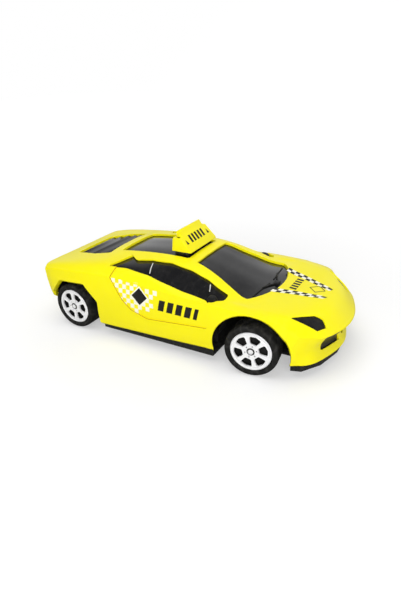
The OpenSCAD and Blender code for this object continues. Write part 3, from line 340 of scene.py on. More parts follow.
def lamp_frame(shares, normal, side):
    """Outline of a lamp or grille in space, its middle and the directions of its plane."""
    sizes = body_sizes()
    places = np.array([
        [x * sizes.length / 2, side * y * sizes.width / 2, float(rise(z))] for x, y, z in shares
    ])
    out = unit(np.array([normal[0], side * normal[1], normal[2]]))
    first = unit(np.cross([0, 0, 1], out))
    return places, places.mean(0), first, np.cross(out, first), out


LAMPS = {
    "headlamp": (HEADLAMP_SHARES, [0.6, 0.36, 0.71]),
    "front_grille": (GRILLE_SHARES, [0.95, 0.31, 0]),
    "tail_lamp": (TAIL_LAMP_SHARES, [-1, 0, 0]),
}


def lamp_distance(places, kind, side):
    """Distance from the outline of a lamp or grille, below zero inside it."""
    outline, middle, first, second, out = lamp_frame(*LAMPS[kind], side)
    flat = np.stack([(outline - middle) @ first, (outline - middle) @ second], 1)
    seen = np.stack([(places - middle) @ first, (places - middle) @ second], 1)
    near = np.abs((places - middle) @ out) < LAMP_DEPTH_IN_WALLS * body_sizes().wall
    distance = outline_distance(seen, rounded(hull(flat), LAMP_ROUND))
    return np.where(near & (places[:, 1] * side > 0), distance, FAR)


def opening_field(places):
    """Distance from the nearest opening of the shell, below zero inside it."""
    sizes, wall = body_sizes(), body_sizes().wall
    x, y, z = places.T
    y = np.abs(y)
    plan, view = places[:, :2], places[:, [0, 2]]
    deck, outer = z > DECK_LEVEL * sizes.roof, y > ARCH_FROM * sizes.width
    flank = y > FLANK_FROM * sizes.width
    pod = np.hypot(x - MIRROR_PLACE[0], y - MIRROR_PLACE[1]) - MIRROR_R - MIRROR_GAP
    arch = np.hypot((x - ARCH_X) / ARCH_STRETCH, z - AXLE_Z) - ARCH_R
    fields = [
        np.where(flank & (z > POD_LEVEL * sizes.roof), pod, FAR),
        np.where(outer, arch, FAR),
    ]
    for cuts, flat, outline in (
        (deck, plan, rounded(plan_outline(WINDSCREEN_SHARES), WINDSCREEN_ROUNDS)),
        (deck, plan, rounded(stretched(plan_outline(LOUVRE_SHARES), wall), wall)),
        (z > ROOF_LEVEL * sizes.roof, plan, rounded(stretched(plan_outline(ROOF_PANEL_SHARES), wall), wall)),
        (flank, view, rounded(side_outline(SIDE_WINDOW_SHARES), WINDOW_ROUNDS)),
        (outer, view, rounded(hull(side_outline(REAR_ARCH_SHARES)), ARCH_ROUND)),
    ):
        fields.append(np.where(cuts, outline_distance(flat, outline), FAR))
    fields += [lamp_distance(places, kind, side) for kind in LAMPS for side in SIDES]
    return np.min(fields, axis=0)


def door_field(places):
    """Distance from the edge of the door panels, below zero inside it."""
    distance = outline_distance(places[:, [0, 2]], rounded(side_outline(DOOR_SHARES), DOOR_ROUND))
    return np.where(np.abs(places[:, 1]) > DOOR_FROM * body_sizes().width, distance, FAR)


def glazing_field(places):
    """Distance from the lower edge of the canopy, above zero inside it."""
    return -outline_distance(places[:, [0, 2]], side_outline(CANOPY_EDGE_SHARES))


def skin_grid(loft, cell):
    """Even cells over the whole skin, with lines along its creases."""
    def marks(last, other, order):
        out = []
        for k in range(last):
            start, end = (
                loft.at(np.stack([np.full(len(other), k + e), other][::order], 1)) for e in (0.0, 1.0))
            length = np.linalg.norm(end - start, axis=1)
            steps = max(1, int(math.ceil(np.percentile(length, 85) / cell)))
            out += list(k + np.arange(steps) / steps)
        return np.array(out + [float(last)])

    us = marks(NOSE, np.linspace(0, SILL, 15), 1)
    vs = marks(SILL, np.linspace(0, NOSE, 35), -1)
    vs = np.concatenate([-vs[:0:-1], vs])
    u, v = np.meshgrid(us, vs, indexing="ij")
    n = len(vs)
    i, k = np.meshgrid(np.arange(len(us) - 1), np.arange(n - 1), indexing="ij")
    a = (i * n + k).ravel()
    quads = np.stack([a, a + n, a + n + 1, a + 1], 1).tolist()
    return np.stack([u.ravel(), v.ravel()], 1), [tuple(quad) for quad in quads]


def split(uv, faces, field, level=0.0):
    """Cuts faces where a field has a level. Gives the places, the faces beyond and the faces within."""
    values = field(uv) - level
    beyond, within, crossings = [], [], {}
    signs = (values >= 0).tolist()
    for face in faces:
        kinds = [signs[i] for i in face]
        if all(kinds):
            beyond.append(face)
        elif not any(kinds):
            within.append(face)
        else:
            parts = ([], [])
            for k, i in enumerate(face):
                j = face[(k + 1) % len(face)]
                parts[0 if signs[i] else 1].append(i)
                if signs[i] != signs[j]:
                    new = crossings.setdefault((min(i, j), max(i, j)), len(uv) + len(crossings))
                    parts[0].append(new)
                    parts[1].append(new)
            for part, out in zip(parts, (beyond, within)):
                if len(part) > 2:
                    out.append(tuple(part))
    if crossings:
        ends = np.array(list(crossings))
        low, high = uv[ends[:, 0]], uv[ends[:, 1]]
        swap = values[ends[:, 0]] >= 0
        low, high = np.where(swap[:, None], high, low), np.where(swap[:, None], low, high)
        for _ in range(HALVINGS):
            middle = (low + high) / 2
            over = (field(middle) >= level)[:, None]
            low, high = np.where(over, low, middle), np.where(over, middle, high)
        uv = np.concatenate([uv, (low + high) / 2])
    return uv, beyond, within


class Builder:
    """Gathers places with their normals and faces, then makes one welded mesh."""

    def __init__(self):
        self.places, self.normals, self.faces, self.marks, self.count = [], [], [], [], 0

    def points(self, places, normals):
        places = np.atleast_2d(places)
        self.places.append(places)
        self.normals.append(np.broadcast_to(normals, places.shape))
        self.count += len(places)
        return np.arange(self.count - len(places), self.count)

    def add(self, faces, index=None, mark=0, flip=False):
        for face in faces:
            face = tuple(index[i] for i in face) if index is not None else tuple(face)
            self.faces.append(face[::-1] if flip else face)
            self.marks.append(mark)

    def flat(self, corners, mark=0):
        """One face with its own plain normal."""
        corners = np.asarray(corners, float)
        normal = unit(np.cross(corners[1] - corners[0], corners[2] - corners[0]))
        self.add([tuple(self.points(corners, normal))], mark=mark)

    def strip(self, low, high, closed=True):
        """Faces between two rows of points."""
        n = len(low)
        count = n if closed else n - 1
        self.add((low[k], low[(k + 1) % n], high[(k + 1) % n], high[k]) for k in range(count))

    def make(self, name, materials, body, slot, replaces=(), matrix=None):
        """Piece of the welded faces, on a body, in place of the named nodes. The slot is not used."""
        places, normals = np.concatenate(self.places), np.concatenate(self.normals)
        if matrix is not None:
            m = np.array(matrix)
            places, normals = places @ m[:3, :3].T + m[:3, 3], normals @ m[:3, :3].T
        keys, weld = np.unique(np.round(places / WELD).astype(np.int64), axis=0, return_inverse=True)
        weld = weld.ravel()
        spots = np.zeros((len(keys), 3))
        spots[weld] = places
        faces, corners, marks = [], [], []
        for face, mark in zip(self.faces, self.marks):
            ring, source = [], []
            for i in face:
                if weld[i] not in ring:
                    ring.append(int(weld[i]))
                    source.append(i)
            if len(ring) > 2:
                faces.append(ring)
                corners += source
                marks.append(mark)
        used = np.unique(np.concatenate([np.array(f) for f in faces]))
        remap = np.full(len(spots), -1)
        remap[used] = np.arange(len(used))
        mesh = bpy.data.meshes.new(name)
        mesh.from_pydata(spots[used].tolist(), [], [[int(remap[i]) for i in f] for f in faces])
        for material in materials:
            mesh.materials.append(material)
        mesh.polygons.foreach_set("material_index", marks)
        mesh.shade_smooth()
        mesh.normals_split_custom_set(unit(normals[corners]).tolist())
        placed(name, mesh, body, replaces)


def placed(name, mesh, body, replaces=()):
    piece = bpy.data.objects.new(name, mesh)
    bpy.context.scene.collection.objects.link(piece)
    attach(piece, body)
    if replaces:
        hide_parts(*replaces)


def edges_of(faces):
    return {(face[k], face[(k + 1) % len(face)]) for face in faces for k in range(len(face))}


def inward(loft, uv, field):
    """Direction on the skin in which a field grows, or away from the end of the skin."""
    lengthwise, around = loft.slopes(uv, 0.2 * MM)
    grads = [(field(uv + way) - field(uv - way)) / (2 * UV_STEP) for way in UV_STEP * np.eye(2)]
    aa, bb, ab = (lengthwise**2).sum(1), (around**2).sum(1), (lengthwise * around).sum(1)
    det = np.maximum(aa * bb - ab**2, 1e-15)
    a = (bb * grads[0] - ab * grads[1]) / det
    b = (aa * grads[1] - ab * grads[0]) / det
    out = unit(a[:, None] * lengthwise + b[:, None] * around)
    for row, low, high, way in ((0, 0, NOSE, lengthwise), (1, -SILL, SILL, around)):
        out = np.where((uv[:, row] <= low + 1e-6)[:, None], unit(way), out)
        out = np.where((uv[:, row] >= high - 1e-6)[:, None], -unit(way), out)
    return out


def thick_skin(builder, loft, lining, uv, levels, field, round_r, shade_step_mark=0):
    """Skin faces on one or more depths with rounded rims, walls and an inner side."""
    places, normals = loft.at(uv), loft.normals(uv)
    inner, inner_normals = lining.at(uv), -lining.normals(uv)
    back = builder.points(inner, inner_normals)
    all_edges = edges_of([face for faces, _ in levels for face in faces])
    grow = inward(loft, uv, field)
    fronts = []
    for faces, depth in levels:
        base = places - depth * normals
        front = builder.points(base, normals)
        fronts.append(base)
        builder.add(faces, front)
        builder.add(faces, back, flip=True)
        rings = [builder.points(
            base + round_r * (-grow * math.sin(turn) - normals * (1 - math.cos(turn))),
            unit(normals * math.cos(turn) - grow * math.sin(turn)),
        ) for turn in (math.pi / 4, math.pi / 2)]
        wall = builder.points(base - round_r * (grow + normals), -grow)
        rings = [front, *rings, wall, builder.points(inner, -grow)]
        for i, j in edges_of(faces):
            if (j, i) in all_edges:
                continue
            for k in (0, 1, 3):
                builder.add([(rings[k][i], rings[k + 1][i], rings[k + 1][j], rings[k][j])])
    if len(levels) > 1:
        outside = edges_of(levels[0][0])
        high, low = fronts
        for i, j in edges_of(levels[1][0]):
            if (j, i) in outside:
                # The walls of a step between two depths take the step's mark, which on the shell is a darker
                # painted shade
                builder.flat([low[i], high[i], high[j], low[j]], shade_step_mark)


# Finishes

def group_tree(name, inputs, outputs):
    """New node group. A tuple makes a colour socket, a number makes a float socket."""
    tree = bpy.data.node_groups.new(name, "ShaderNodeTree")
    for way, sockets in (("INPUT", inputs), ("OUTPUT", outputs)):
        for label, value in sockets.items():
            kind = "NodeSocketColor" if isinstance(value, tuple) else "NodeSocketFloat"
            tree.interface.new_socket(label, in_out=way, socket_type=kind).default_value = value
    return tree, tree.nodes.new("NodeGroupInput").outputs, tree.nodes.new("NodeGroupOutput")


def wire(tree, target, links):
    for key, source in links.items():
        tree.links.new(source, target.inputs[key])


def node(tree, kind, links=None, **values):
    """New node with its settings and values by name, and its links by socket."""
    made = tree.nodes.new(kind)
    for key, value in values.items():
        if hasattr(made, key):
            setattr(made, key, value)
        else:
            made.inputs[key.replace("_", " ")].default_value = value
    wire(tree, made, links or {})
    return made


def math_node(tree, operation, first, second):
    made = node(tree, "ShaderNodeMath", operation=operation)
    for socket, value in zip(made.inputs, (first, second)):
        if isinstance(value, float):
            socket.default_value = value
        else:
            tree.links.new(value, socket)
    return made.outputs[0]


def colour_mix(tree, factor, first, second):
    """Mixed colour. The Mix node has its colours at sockets 6 and 7 and gives them at 2."""
    return node(tree, "ShaderNodeMix", {"Factor": factor, 6: first, 7: second}, data_type="RGBA").outputs[2]


WHITE, BLACK = (1, 1, 1, 1), (0, 0, 0, 1)


def moulded_grain_group():
    """Fine grain of a moulded surface with faint flow marks."""
    tree, given, out = group_tree(
        "moulded_grain",
        {"Colour": WHITE, "Shade": BLACK, "Grain Size": 900.0, "Roughness Low": 0.2, "Roughness High": 0.3},
        {"Colour": WHITE, "Roughness": 0.0, "Height": 0.0})
    where = node(tree, "ShaderNodeTexCoord").outputs["Object"]
    grain = node(tree, "ShaderNodeTexNoise", {"Vector": where, "Scale": given["Grain Size"]}, Detail=3.0)
    marks = node(tree, "ShaderNodeTexNoise", {"Vector": where}, Scale=22.0, Detail=4.0, Distortion=1.2)
    flow = marks.outputs[0]
    spread = node(tree, "ShaderNodeMapRange", {
        "Value": flow, "To Min": given["Roughness Low"], "To Max": given["Roughness High"]})
    wire(tree, out, {"Colour": colour_mix(tree, flow, given["Colour"], given["Shade"]),
                     "Roughness": spread.outputs[0], "Height": grain.outputs[0]})
    return tree


def handling_marks_group():
    """Thin scuffs and dust that settle on the upper sides."""
    tree, given, out = group_tree(
        "handling_marks",
        {"Colour": WHITE, "Dust": (0.6, 0.58, 0.54, 1), "Amount": 0.1, "Roughness": 0.3},
        {"Colour": WHITE, "Roughness": 0.0})
    where = node(tree, "ShaderNodeTexCoord").outputs["Object"]
    normal = node(tree, "ShaderNodeNewGeometry").outputs["Normal"]
    specks = node(tree, "ShaderNodeTexNoise", {"Vector": where}, Scale=260.0, Detail=6.0, Roughness=0.7)
    scuffs = node(tree, "ShaderNodeTexWave", {"Vector": where}, Scale=60.0, Distortion=14.0, Detail=3.0)
    facing = node(tree, "ShaderNodeSeparateXYZ", {"Vector": normal})
    mask, fine, up = (
        node(tree, "ShaderNodeMapRange", {"Value": value}, From_Min=low, From_Max=high).outputs[0]
        for value, low, high in ((specks.outputs[0], 0.45, 0.75), (scuffs.outputs[1], 0.8, 1.0),
                                 (facing.outputs[2], -0.4, 1.0)))
    dust = math_node(tree, "MULTIPLY", math_node(tree, "MULTIPLY", mask, up), given["Amount"])
    scratches = math_node(tree, "MULTIPLY", fine, math_node(tree, "MULTIPLY", given["Amount"], 0.3))
    both = math_node(tree, "ADD", dust, scratches)
    wire(tree, out, {"Colour": colour_mix(tree, both, given["Colour"], given["Dust"]),
                     "Roughness": math_node(tree, "ADD", given["Roughness"], both)})
    return tree


PAINT = (0.98, 0.88, 0.006)
FINISHES = {
    # colour, shade, roughness low and high, metallic, coat, grain size, grain depth, dust
    "yellow": (PAINT, PAINT, 0.30, 0.36, 0.0, 0.0, 1500, 0.02, 0.02),
    # Walls of the door step: darker amber, a painted shade of the crease
    "painted_step_shade": ((0.62, 0.42, 0.004), (0.56, 0.37, 0.003), 0.45, 0.55, 0.0, 0.0, 1500, 0.02, 0.04),
    "glazing": ((0.006, 0.006, 0.007), (0.009, 0.009, 0.010), 0.10, 0.16, 0.0, 0.0, 1200, 0.015, 0.02),
    "black_trim": ((0.010, 0.010, 0.010), (0.016, 0.016, 0.016), 0.42, 0.55, 0.0, 0.0, 1400, 0.12, 0.05),
    "lamp_black": ((0.010, 0.010, 0.011), (0.016, 0.016, 0.017), 0.30, 0.42, 0.0, 0.0, 1600, 0.10, 0.03),
    "lamp_red": ((0.45, 0.010, 0.008), (0.36, 0.008, 0.006), 0.12, 0.18, 0.0, 0.3, 1200, 0.05, 0.02),
    "tyre": ((0.009, 0.009, 0.009), (0.014, 0.014, 0.013), 0.62, 0.78, 0.0, 0.0, 1800, 0.22, 0.08),
    "rim_silver": ((0.93, 0.93, 0.94), (0.88, 0.88, 0.89), 0.28, 0.36, 0.1, 0.2, 1500, 0.03, 0.02),
    "steel": ((0.56, 0.56, 0.57), (0.48, 0.48, 0.49), 0.22, 0.34, 1.0, 0.0, 2200, 0.05, 0.04),
    "motor_can": ((0.62, 0.63, 0.64), (0.54, 0.55, 0.56), 0.28, 0.40, 1.0, 0.0, 1800, 0.06, 0.05),
    "cell_case": ((0.05, 0.12, 0.08), (0.04, 0.09, 0.06), 0.30, 0.40, 0.4, 0.2, 1500, 0.04, 0.05),
    "brass": ((0.72, 0.52, 0.18), (0.62, 0.44, 0.15), 0.22, 0.32, 1.0, 0.0, 2000, 0.05, 0.04),
    "ivory_plastic": ((0.78, 0.75, 0.66), (0.72, 0.69, 0.60), 0.38, 0.48, 0.0, 0.0, 1400, 0.06, 0.05),
    "grey_plastic": ((0.05, 0.05, 0.054), (0.07, 0.07, 0.074), 0.40, 0.50, 0.0, 0.0, 1400, 0.08, 0.05),
    "board_green": ((0.02, 0.13, 0.05), (0.015, 0.10, 0.04), 0.35, 0.45, 0.0, 0.1, 900, 0.04, 0.05),
    "print_white": ((0.96, 0.95, 0.80), (0.94, 0.92, 0.72), 0.34, 0.42, 0.0, 0.0, 1600, 0.02, 0.02),
    "print_black": ((0.012, 0.012, 0.011), (0.02, 0.02, 0.018), 0.34, 0.44, 0.0, 0.0, 1600, 0.02, 0.03),
}
# Specular levels that differ from the usual one
SHEEN = {
    "yellow": 0.18, "tyre": 0.1, "print_black": 0.1, "print_white": 0.2, "black_trim": 0.15,
    "lamp_black": 0.12,
}
USUAL_SHEEN, COAT_ROUGHNESS, GRAIN_HEIGHT = 0.5, 0.12, 0.00005
PAINT_SHADE = 0.96


def finish(name):
    """Procedural material of one finish, made once."""
    found = bpy.data.materials.get("finish_" + name)
    if found:
        return found
    colour, shade, low, high, metallic, coat, grain, depth, dust = FINISHES[name]
    if name == "yellow":
        colour = tuple(bpy.context.scene.taxi_looks.paint)
        shade = tuple(PAINT_SHADE * c for c in colour)
    material = bpy.data.materials.new("finish_" + name)
    material.use_nodes = True
    tree, groups = material.node_tree, bpy.data.node_groups
    grained = node(
        tree, "ShaderNodeGroup", node_tree=groups.get("moulded_grain") or moulded_grain_group(),
        Colour=(*colour, 1), Shade=(*shade, 1), Grain_Size=grain, Roughness_Low=low, Roughness_High=high,
    ).outputs
    marked = node(
        tree, "ShaderNodeGroup", {key: grained[key] for key in ("Colour", "Roughness")},
        node_tree=groups.get("handling_marks") or handling_marks_group(), Amount=dust,
    ).outputs
    bump = node(tree, "ShaderNodeBump", {"Height": grained["Height"]}, Strength=depth, Distance=GRAIN_HEIGHT)
    shader = tree.nodes["Principled BSDF"]
    wire(tree, shader, {
        "Base Color": marked["Colour"], "Roughness": marked["Roughness"], "Normal": bump.outputs[0]})
    for key, value in (("Metallic", metallic), ("Coat Weight", coat), ("Coat Roughness", COAT_ROUGHNESS),
                       ("Specular IOR Level", SHEEN.get(name, USUAL_SHEEN))):
        shader.inputs[key].default_value = value
    return material


# Pieces

# Angles of softened edges: flat below the first, rounded beyond the second, shaded sharp beyond the third
FLAT_ANGLE, ROUND_ANGLE, SHARP_ANGLE = (math.radians(angle) for angle in (0.6, 30, 28))
# Wipers as shares of half length and half width, with radius and lift in mm
WIPERS = (
    ([[0.487, 0.49], [0.498, 0.28], [0.508, 0.07]], 0.42, 0.3),
    ([[0.535, 0.045], [0.515, 0.14], [0.497, 0.25]], 0.55, 0.5),
)
WIPER_BLOCK_SHARE = 0.54
# Raised ribs on the side glazing, as shares of half length and of height; their silver colour is a painted
# highlight of the pillar edges
PILLAR_HIGHLIGHT_SHARES = (
    [[-0.163, 0.915], [-0.147, 0.889], [-0.131, 0.862]],
    [[0.248, 0.805], [0.257, 0.784], [0.264, 0.764]],
)
SEAT_LOW = 50.6


def softened(name, width, finish_name, segments=2):
    """CAD node's form with its sharp edges rounded, in place of the node."""
    source = NODES[name]
    work = bmesh.new()
    work.from_mesh(source.data)
    bmesh.ops.remove_doubles(work, verts=work.verts, dist=WELD)
    bmesh.ops.dissolve_limit(work, angle_limit=FLAT_ANGLE, verts=work.verts, edges=work.edges)
    sharp = [e for e in work.edges if len(e.link_faces) == 2 and e.calc_face_angle(0) > ROUND_ANGLE]
    bmesh.ops.bevel(work, geom=sharp, offset=width, segments=segments, profile=0.6, affect="EDGES",
                    clamp_overlap=True)
    mesh = bpy.data.meshes.new(name + "_moulding")
    work.to_mesh(mesh)
    work.free()
    mesh.shade_smooth()
    mesh.set_sharp_from_angle(angle=SHARP_ANGLE)
    mesh.materials.append(finish(finish_name))
    placed(name + "_moulding", mesh, source["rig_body"], [name])


def slot_of(name):
    return next(s["material_slot"] for s in frame["record"]["subparts"] if s["node"] == name)


def tube(builder, path, radius, sides=12):
    """Round bar along a path with rounded ends."""
    path = np.asarray(path, float)
    ways = unit(np.gradient(path, axis=0))
    start, end = path[0] - ways[0] * radius * 0.7, path[-1] + ways[-1] * radius * 0.7
    path, ways = np.vstack([start, path, end]), np.vstack([ways[0], ways, ways[-1]])
    scale = np.array([0.35] + [1.0] * (len(path) - 2) + [0.35]) * radius
    up = np.array([0.0, 0.0, 1.0]) if abs(ways[0][2]) < 0.9 else np.array([1.0, 0.0, 0.0])
    rings = []
    for place, way, r in zip(path, ways, scale):
        first = unit(np.cross(way, up))
        second = np.cross(way, first)
        turn = np.arange(sides) * 2 * math.pi / sides
        out = np.cos(turn)[:, None] * first + np.sin(turn)[:, None] * second
        rings.append(builder.points(place + r * out, out))
    for low, high in zip(rings, rings[1:]):
        builder.strip(low, high)
    builder.add([rings[0][::-1], rings[-1]])


def make_shell():
    """Yellow shell with its openings, and door panels that lie a step lower. The step's walls take a darker
    amber as painted shade of the crease.
    """
    sizes = body_sizes()
    loft, lining = Loft(0.0), Loft(sizes.wall)

    def field(where):
        return opening_field(loft.at(where))

    def door(where):
        return door_field(loft.at(where))

    uv, faces, _ = split(*skin_grid(loft, sizes.cell), field, sizes.edge_round)
    uv, outer, panel = split(uv, faces, door)
    builder = Builder()
    levels = [(outer, 0.0), (panel, sizes.door_depth)]
    thick_skin(builder, loft, lining, uv, levels, field, sizes.edge_round, shade_step_mark=1)
    builder.make("shell_skin", [finish("yellow"), finish("painted_step_shade")], "car", "yellow", ["body_shell"])


def make_glazing():
    """Dark canopy with its wipers, mirror bumps, raised pillar ribs in silver as a painted highlight, and the
    seat of the sign.
    """
    sizes = body_sizes()
    loft, lining = Loft(CANOPY_INSET), Loft(CANOPY_INSET + 1.2 * MM)

    def field(where):
        return glazing_field(loft.at(where))

    uv, faces, _ = split(*skin_grid(loft, 1.4 * MM), field)
    canopy, details, lines, seat = (Builder() for _ in range(4))
    thick_skin(canopy, loft, lining, uv, [(faces, 0.0)], field, 0.1 * MM)
    canopy.make("glazing_canopy", [finish("glazing")], "car", "glazing", ["window_canopy"])
    half, wide = sizes.length / 2, sizes.width / 2
    for side in SIDES:
        for shares, radius, lift in WIPERS:
            path = loft.drape(np.array([[x * half, side * y * wide] for x, y in shares]))
            tube(details, loft.at(path) + lift * MM * loft.normals(path), radius * MM)
    middle = loft.at(loft.drape(np.array([[WIPER_BLOCK_SHARE * half, 0.0]])))[0]
    details_block(details, middle + [0, 0, 0.1 * MM], np.array([3.6, 4.8, 2.2]) * MM, 0.5 * MM)
    for side in SIDES:
        dome(details, MIRROR_PLACE * [1, side, 1], unit(np.array([0.1, 0.36 * side, 0.93])))
    details.make("wipers_and_mirrors", [finish("black_trim")], "car", "black_trim")
    # Raised ribs on the side glazing: real ridges, and their light silver colour is a painted highlight
    for side in SIDES:
        for shares in PILLAR_HIGHLIGHT_SHARES:
            path = loft.drape(side_outline(shares), side)
            tube(lines, loft.at(path) + 0.15 * MM * loft.normals(path), 0.28 * MM, 8)
    lines.make("pillar_ribs_painted_highlight", [finish("rim_silver")], "car", "glazing")
    low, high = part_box("roof_sign")
    span = np.array([9.94, 29.7, low.z / MM - SEAT_LOW]) * MM
    place = np.array([(low.x + high.x) / 2 - 1.0 * MM, 0, SEAT_LOW * MM + span[2] / 2])
    details_block(seat, place, span, 0.6 * MM)
    seat.make("sign_seat", [finish("glazing")], "car", "glazing")


def details_block(builder, centre, span, bevel):
    """Block with rounded edges."""
    work = bmesh.new()
    bmesh.ops.create_cube(work, size=1.0)
    bmesh.ops.scale(work, vec=Vector(span), verts=work.verts)
    bmesh.ops.bevel(work, geom=work.edges[:], offset=bevel, segments=3, profile=0.5, affect="EDGES")
    bmesh.ops.translate(work, vec=Vector(centre), verts=work.verts)
    work.normal_update()
    index = builder.points(np.array([v.co for v in work.verts]), np.array([v.normal for v in work.verts]))
    builder.add([[v.index for v in f.verts] for f in work.faces], index)
    work.free()


def dome(builder, centre, axis):
    """Mirror bump with its base sunk into the glazing."""
    sides, sunk = 28, 3 * MM
    first = unit(np.cross(axis, [0, 0, 1]))
    second = np.cross(axis, first)
    turn = np.arange(sides) * 2 * math.pi / sides
    around = np.cos(turn)[:, None] * first + np.sin(turn)[:, None] * second
    rings = []
    for share in np.linspace(0, 1, 8)[:-1]:
        c, s = math.cos(share * math.pi / 2), math.sin(share * math.pi / 2)
        places = centre - sunk * axis + MIRROR_R * c ** 0.6 * around + MIRROR_HEIGHT * s * axis
        rings.append(builder.points(places, c * around + s * axis))
    top = builder.points(centre + (MIRROR_HEIGHT - sunk) * axis, axis)
    for low, high in zip(rings, rings[1:]):
        builder.strip(low, high)
    builder.add([(rings[-1][k], rings[-1][(k + 1) % sides], top[0]) for k in range(sides)])
    builder.add([rings[0][::-1]])


def make_trim():
    """Louvred cover, and inserts that fill the openings of the lamps and grilles."""
    softened("engine_cover", 0.25 * MM, "glazing")
    loft, lining = Loft(0.8 * MM), Loft(2.3 * MM)
    grid, cells = skin_grid(loft, 0.9 * MM)
    for kind in LAMPS:
        for side in SIDES:
            make_insert(kind, side, loft, lining, grid, cells)


def make_insert(kind, side, loft, lining, grid, cells):
    def field(where):
        return -lamp_distance(loft.at(where), kind, side)

    name = f"{kind}_{SIDES[side]}"
    uv, faces, _ = split(grid, cells, field, 0.06 * MM)
    builder = Builder()
    thick_skin(builder, loft, lining, uv, [(faces, 0.0)], field, 0.25 * MM)
    material = finish("lamp_red" if kind == "tail_lamp" else "lamp_black")
    builder.make(name + "_insert", [material], "car", slot_of(name), [name])


def wheel_frame(name):
    """Matrix from a wheel's own axis, measured from the inner face of its tyre outward, to the car."""
    side = RIGHT if name.endswith("right") else LEFT
    wheels = bpy.context.scene.taxi_wheels
    turn = wheels.parked_steer if "front" in name else 0.0
    c, s = math.cos(turn), math.sin(turn)
    if "front" in name:
        reach = side * (wheels.inner - wheels.kingpin)
        origin = Vector((wheels.front - reach * s, side * wheels.kingpin + reach * c, AXLE_Z))
    else:
        origin = Vector((wheels.rear, side * wheels.inner, AXLE_Z))
    out, ahead = Vector((-s, c, 0)) * side, Vector((c, s, 0))
    matrix = Matrix((ahead, out.cross(ahead), out)).transposed().to_4x4()
    matrix.translation = origin
    return matrix


def make_tyre(name):
    """Tyre with two grooves around its tread and ribs across it."""
    wheels = bpy.context.scene.taxi_wheels
    r, w, rim = wheels.tyre_r, wheels.tyre_w, wheels.rim_r
    h = r - rim
    # radius and share of the width, from the rim to the tread and across it
    side_profile = [
        (rim + 0.03 * MM, 0.06), (rim + 0.12 * h, 0.022), (rim + 0.3 * h, 0.008), (rim + 0.55 * h, 0.0),
        (rim + 0.72 * h, 0.012), (r - 0.14 * h, 0.05), (r - 0.06 * h, 0.095), (r - 0.02 * h, 0.15), (r, 0.22)]
    groove_r = r - 0.13 * h
    tread = [(r, 0.36), (groove_r, 0.38), (groove_r, 0.42), (r, 0.44), (r, 0.56), (groove_r, 0.58),
             (groove_r, 0.62), (r, 0.64)]
    profile = np.array(side_profile + tread + [(a, 1 - b) for a, b in reversed(side_profile)])
    radii, heights = profile[:, 0], profile[:, 1] * w
    slope = unit(np.stack([np.gradient(heights), -np.gradient(radii)], 1))
    steps = 4 * wheels.ribs
    turn = np.arange(steps) * 2 * math.pi / steps
    around, axis = np.stack([np.cos(turn), np.sin(turn), 0 * turn], 1), np.array([0, 0, 1.0])
    groove = np.where(np.arange(steps) % 4 < 1, wheels.rib_depth, 0.0)
    on_tread = (radii > r - 0.1 * h).astype(float)
    builder = Builder()
    rows = []
    for radius, height, way, cut in zip(radii, heights, slope, on_tread):
        ring = (radius - cut * groove)[:, None] * around + [0, 0, height]
        rows.append(builder.points(ring, way[0] * around + way[1] * axis))
    for low, high in zip(rows, rows[1:] + rows[:1]):
        builder.strip(low, high)
    body = NODES[name]["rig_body"]
    builder.make(name + "_tread", [finish("tyre")], body, "tyre", [name], wheel_frame(name))


